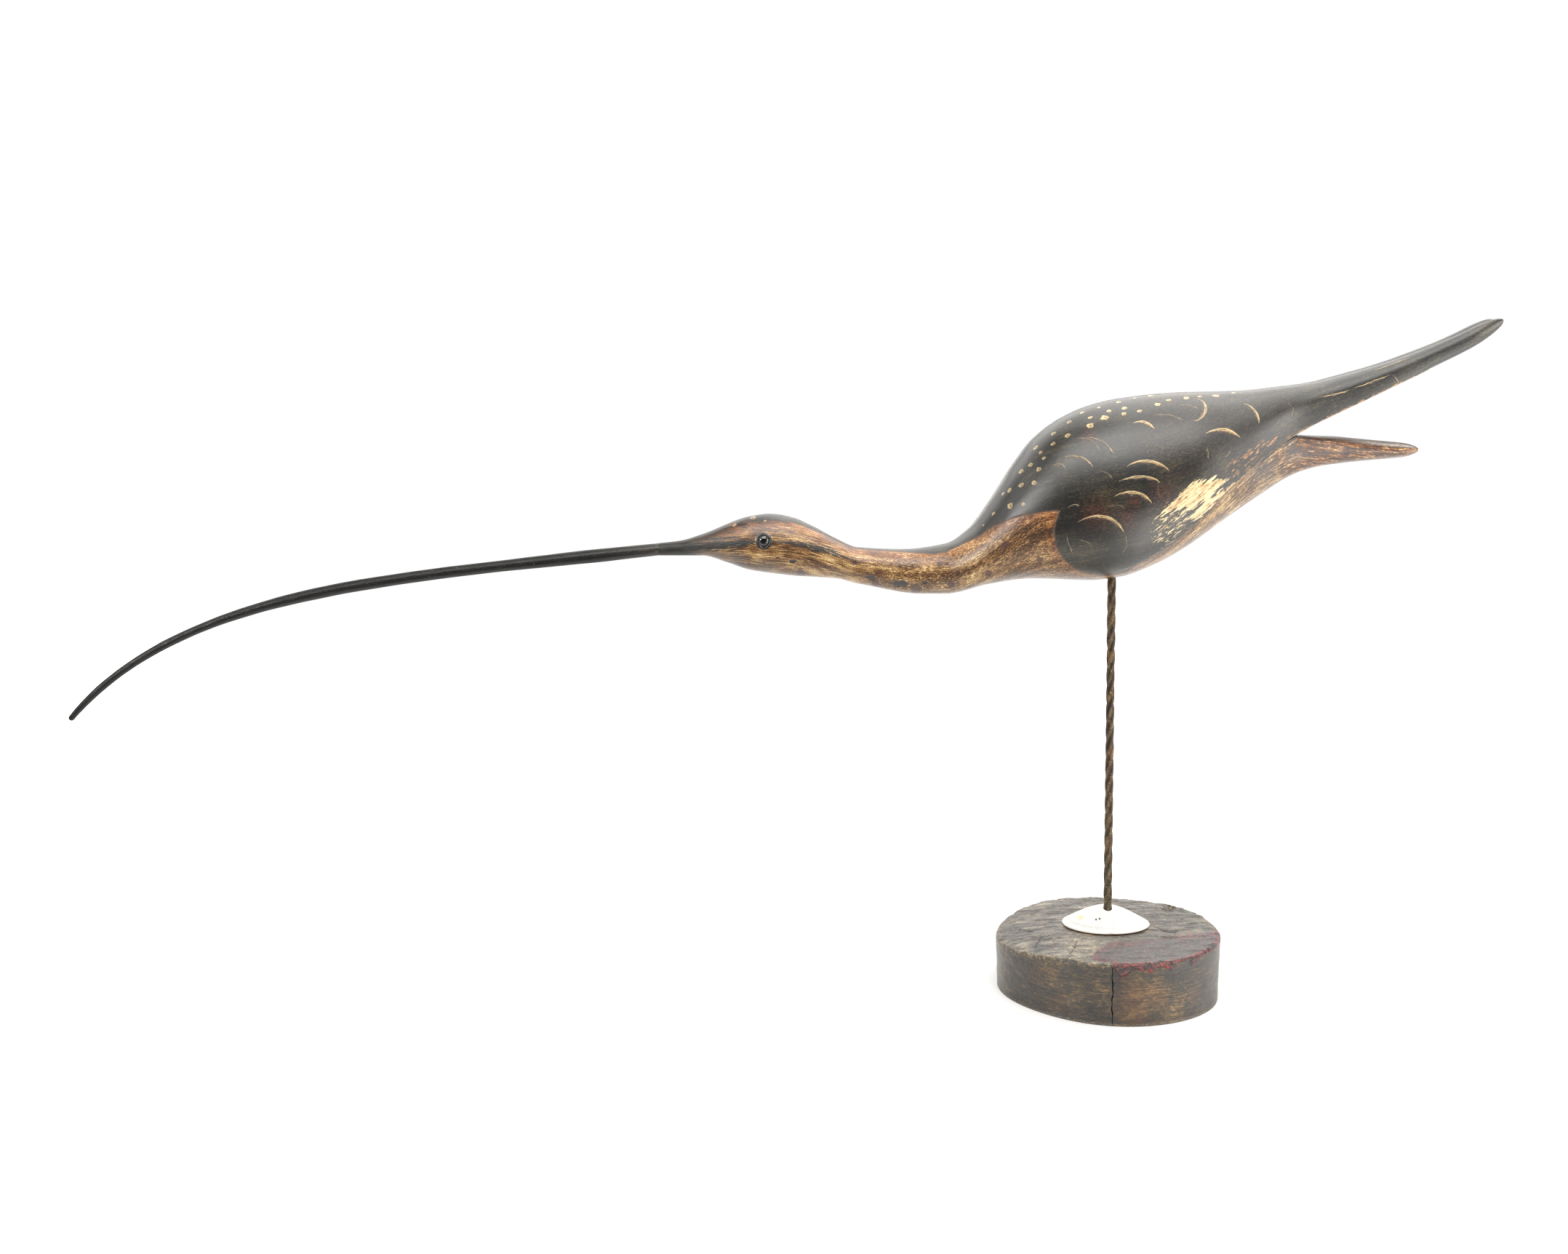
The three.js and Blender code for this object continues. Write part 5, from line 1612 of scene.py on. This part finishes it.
def base_finish(s):
    """Old dark paint, rubbed and weathered, with a glossy spill."""
    f = Finish("Painted base", Coat_Weight=1.0, Coat_Roughness=0.32)
    x, y, z = f.parts(f.place)
    around = f.joined(f.math("ARCTAN2", y, x) * 5.58, z * 0.9)
    brush = f.noise(around, 1, 6, 0.74, 0.8)
    hair = f.noise(around, (4.5, 4, 1), 4, 0.7)
    cloud = f.noise(f.place, 0.045, 4, 0.6)
    clot = f.noise(f.place, 0.5, 4, 0.6)
    tears, rim, split = (f.kept(name) for name in ("tear", "rim", "split"))
    varnish, ochre, crack = f.kept_parts("marks")

    level = ((brush + hair) * 0.5 + (cloud - 0.5) * 0.25) * 1.25 - 0.115
    level += ochre * 0.045 + (clot - 0.5) * 0.2
    side = f.shades(level, (0.4, (20, 20, 20)), (0.48, s.paint), (0.55, (62, 52, 38)),
                    (0.62, (104, 82, 52)), (0.72, s.wood))
    side = f.over(f.noise(f.place, 0.06).step(0.47, 0.6) * ochre * 0.35, side, s.brown)

    grain = f.noise(f.place, (0.22, 0.62, 0.5), 6, 0.72, 0.9)
    speck = f.noise(f.place, (1, 1.7, 1.7), 4, 0.7)
    rise = speck * 0.4 + grain * 0.6 + tears * 0.12 + (clot - 0.5) * 0.25
    top = f.shades(rise * 1.3 - 0.165 + ochre * 0.1, (0.4, (30, 27, 25)), (0.49, (72, 67, 61)),
                   (0.57, s.grey), (0.65, (146, 132, 110)), (0.74, (196, 180, 148)))
    upward = f.facing_up().step(0.35, 0.75)
    shade = f.over(upward, side, top)
    wear = rim * ((speck + clot) * 0.5).step(0.5, 0.58)
    shade = f.over(wear * 0.7, shade, (182, 162, 126))
    shade = f.over(z.step(2.6, 0.6) * speck.step(0.5, 0.58) * 0.6, shade, (150, 134, 104))

    ragged = varnish + (clot - 0.5) * 4
    spilt = ragged.step(-0.3, 0.5)
    border = ragged.step(4.5, 1) * cloud.step(0.36, 0.52) * clot.step(0.42, 0.6)
    lines = f.noise(f.place, (0.22, 0.8, 1), 4, 0.5, 1.5).step(0.53, 0.62) * 0.5
    lip = rim * (clot + cloud * 0.5).step(0.68, 0.8)
    red = f.over(clot.step(0.42, 0.62), (84, 22, 26), s.red)
    spill = f.over(f.most(f.most(border, lines), lip), s.varnish, red)
    shade = f.over(spilt * 0.94, shade, spill)
    shade = f.over(crack.step(0.45, 0.15), shade, (20, 16, 13))
    shade = f.over(split.step(1.3, 0.7), shade, (10, 8, 7))
    wrinkles = abs(f.noise(f.place, (0.16, 0.34, 0.3), 3, 0.5, 1.2) - 0.5) * spilt
    relief = level * 0.22 + clot * 0.25 + wrinkles * 4 + grain * upward * 0.8
    return f.done(shade, clot.step(0.3, 0.7, 0.45, 0.65) - spilt * 0.3, relief)


class DECOY_OT_base(bpy.types.Operator):
    """Hew and paint the round wooden base"""

    bl_idname = "decoy.base"
    bl_label = "Wooden base"

    def execute(self, context):
        s, leg = context.scene.decoy_base, context.scene.decoy_leg
        piece = lofted("base_block", base_rings(s, leg))
        mesh = piece.data
        points, normals = coordinates(mesh), coordinates(mesh, "normals")
        varnish, ochre, crack, knot = base_fields(points, normals)
        x, y, z = points.T
        far, angles = np.hypot(x, y), np.arctan2(y, x)
        top, edge = top_height(s, x), rim_radius(s, angles)
        up = soft(normals[:, 2], 0.3, 0.8)
        rim = np.exp(-((top - z) / (2.4 * MM)) ** 2) * soft(far, edge - 4.5 * MM, edge - 1.5 * MM)

        # The torn grain of the top runs along the bird, and every form goes inward only
        torn = bumps(points * (0.35, 1, 1), 6.5 * MM, 5, 5)
        seat = soft(np.hypot(x, y - 6 * MM), 21 * MM, 27 * MM)
        sink = (0.15 + 0.85 * seat) * s.rough * (0.75 - 0.75 * soft(torn, -0.5, 0.5)) * up
        sink += bumps(points, 3 * MM, 9, 2).clip(0) * 0.25 * MM * up * (0.3 + 0.7 * seat)
        sink *= 1 - 0.55 * soft(varnish, -0.5, 2)
        sink += (knot + 0.7 * np.exp(-(crack / 0.5) ** 2)) * MM * up
        side = (1 - up) * soft(z, 0.2 * MM, 1.2 * MM)
        sink += side * (bumps(points * (1, 1, 2.2), 16 * MM, 12) * 0.25 + 0.3).clip(0) * MM
        sink += side * bumps(points * (1, 1, 5), 5 * MM, 14).clip(0) * 0.15 * MM
        sink += rim * soft(bumps(points, 3.2 * MM, 17, 4), 0.15, 0.8) * 0.6 * MM
        drips = soft(varnish, 0.0, 1.4) * side * soft(z, 10 * MM, 14 * MM)
        sink -= np.minimum(drips * 0.5 * MM, sink)

        # The split runs down the front and opens the rim a little
        wander = 0.22 * np.sin(z / MM * 0.4) + 0.14 * np.sin(z / MM * 1.1 + 1)
        turn = (angles - math.radians(SPLIT_AT)) * s.diameter / 2 / MM - wander
        fade = soft(z, -1 * MM, 2 * MM) * soft(top - z, 1.5 * MM, 6 * MM) * (1 - up)
        open_half = SPLIT_HALF * (0.7 + 0.5 * bumps(points * (0, 0, 1), 6 * MM, 21, 2))
        split = np.abs(turn) / np.maximum(open_half, 0.1)
        sink += SPLIT_DEPTH * MM * soft(split, 1.25, 0.55) * fade
        untouched = (normals[:, 2] < -0.5) | (far < bar_reach(leg) + 0.6 * MM)
        direction = np.where((up > 0.5)[:, None], (0, 0, 1), normals)
        keep_values(mesh, "split", np.where(fade > 0.05, split / np.maximum(fade, 0.05) ** 0.5, 30))
        keep_values(mesh, "marks", np.stack([varnish, ochre, crack], axis=1))
        keep_values(mesh, "tear", np.abs(torn))
        keep_values(mesh, "rim", rim)
        move_points(mesh, points - direction * np.where(untouched, 0, sink)[:, None])
        settle(piece, ["base_block"], base_finish(s))
        return {"FINISHED"}


class DECOY_OT_stage(bpy.types.Operator):
    """Set up the floor, the studio light and the camera"""

    bl_idname = "decoy.stage"
    bl_label = "Studio stage"

    def execute(self, context):
        scene, s = context.scene, context.scene.decoy_stage
        scene.view_settings.view_transform = "Standard"
        self.floor(s)
        self.air(scene, s)
        # Each light: where it is, where it points, its two sides and its strength in watts
        lights = {
            "front": ((-0.15, -1.32, 1.84), (0, 0, 0.3), 2.0, 1.35, 38),
            "ceiling": ((0.25, 0.2, 2.1), (0, 0, 0.3), 1.9, 1.3, 20),
            "behind": ((-0.4, 1.45, 1.5), (0, 0, 0.3), 2.8, 1.4, 19),
            "rim": ((-0.2, 1.7, 0.35), (0, 0, 0.3), 3.4, 0.6, 8),
            "left": ((-1.8, -0.1, 1.3), (0, 0, 0.3), 1.2, 1.3, 6),
            "left spot": ((-1.75, -1.4, 0.85), (-0.05, 0, 0.28), 0.45, 0.3, 18),
            "key": ((1.15, 0.75, 1.7), (0, 0, 0.15), 0.9, 0.9, 14),
            "right": ((1.35, -0.78, 0.45), (0, 0, 0.3), 1.0, 0.9, 12),
            "far right": ((1.7, 0.15, 0.5), (0, 0, 0.15), 0.9, 0.8, 5),
            "bounce": ((0.5, -0.5, 0.01), (0.5, -0.5, 1), 0.8, 0.8, 4),
        }
        for name, (place, aim, wide, high, watts) in lights.items():
            light = bpy.data.lights.new(name, "AREA")
            light.shape, light.size, light.size_y, light.energy = "RECTANGLE", wide, high, watts
            light.color = s.warmth
            lamp = bpy.data.objects.new(name, light)
            lamp.location = place
            lamp.rotation_euler = (Vector(aim) - Vector(place)).to_track_quat("-Z", "Y").to_euler()
            lamp.visible_camera = False
            scene.collection.objects.link(lamp)
        camera = bpy.data.cameras.new("camera")
        camera.sensor_fit, camera.sensor_width = "HORIZONTAL", 36
        camera.lens = camera.sensor_width * FOCAL_PIXELS / FRAME_WIDE
        camera.shift_y = -(FRAME_HIGH / 2 - AXIS_DOWN) / FRAME_WIDE
        eye = bpy.data.objects.new("camera", camera)
        eye.location = CAMERA_PLACE
        eye.rotation_euler = (math.pi / 2 - CAMERA_PITCH, 0, 0)
        scene.collection.objects.link(eye)
        scene.camera = eye
        return {"FINISHED"}

    def floor(self, s):
        half, back = s.floor / 2, s.floor_behind
        mesh = bpy.data.meshes.new("floor")
        corners = [(-half, -half, 0), (half, -half, 0), (half, back, 0), (-half, back, 0)]
        mesh.from_pydata(corners, [], [(0, 1, 2, 3)])
        f = Finish("Studio floor")
        paper = f.noise(f.place, 0.02, 2)
        shade = f.over(paper.step(0.3, 0.7), s.pale * 0.99, s.pale)
        for_camera = f.add("ShaderNodeLightPath", output="Is Camera Ray")
        dim = f.parts(f.place)[1].step(-150, -380, 0, 0.9) * (1 - for_camera)
        lift = f.reach(f.place).step(500, 1000, 0, 0.8) + s.lift
        f.plug((1, 1, 1, 1), f.shader.inputs["Emission Color"])
        f.plug(for_camera * lift, f.shader.inputs["Emission Strength"])
        mesh.materials.append(f.done(f.over(dim, shade, (39, 39, 39)), 0.9, paper))
        floor = bpy.data.objects.new("floor", mesh)
        bpy.context.scene.collection.objects.link(floor)

    def air(self, scene, s):
        """White for the camera, and a softer light from all round for everything else."""
        scene.world = bpy.data.worlds.new("studio air")
        scene.world.use_nodes = True
        b = Tree(scene.world.node_tree)
        background = b.nodes["Background"]
        b.plug((1, 1, 1, 1), background.inputs["Color"])
        for_camera = b.add("ShaderNodeLightPath", output="Is Camera Ray")
        b.plug(mix(s.air, 1.05, for_camera), background.inputs["Strength"])


class DECOY_PT_panel(bpy.types.Panel):
    """Lists the decoy's pieces with their sizes and colours"""

    bl_idname = "DECOY_PT_panel"
    bl_label = "Shorebird decoy"
    bl_space_type = "VIEW_3D"
    bl_region_type = "UI"
    bl_category = "Decoy"

    def draw(self, context):
        for operator, group in PIECES:
            box = self.layout.box()
            box.operator(operator.bl_idname)
            settings = getattr(context.scene, group)
            for name in SETTINGS[group].__annotations__:
                box.prop(settings, name)


PIECES = (
    (DECOY_OT_stage, "decoy_stage"), (DECOY_OT_base, "decoy_base"), (DECOY_OT_shell, "decoy_shell"),
    (DECOY_OT_leg, "decoy_leg"), (DECOY_OT_bird, "decoy_bird"), (DECOY_OT_bill, "decoy_bill"),
    (DECOY_OT_eyes, "decoy_eye"),
)
CLASSES = (*SETTINGS.values(), *(operator for operator, _ in PIECES), DECOY_PT_panel)


def register():
    for each in CLASSES:
        bpy.utils.register_class(each)
    for name, group in SETTINGS.items():
        setattr(bpy.types.Scene, name, PointerProperty(type=group))


def unregister():
    for name in SETTINGS:
        delattr(bpy.types.Scene, name)
    for each in reversed(CLASSES):
        bpy.utils.unregister_class(each)


def main():
    register()
    for operator, _ in PIECES:
        group, name = operator.bl_idname.split(".")
        getattr(getattr(bpy.ops, group), name)()


if __name__ == "__main__":
    main()
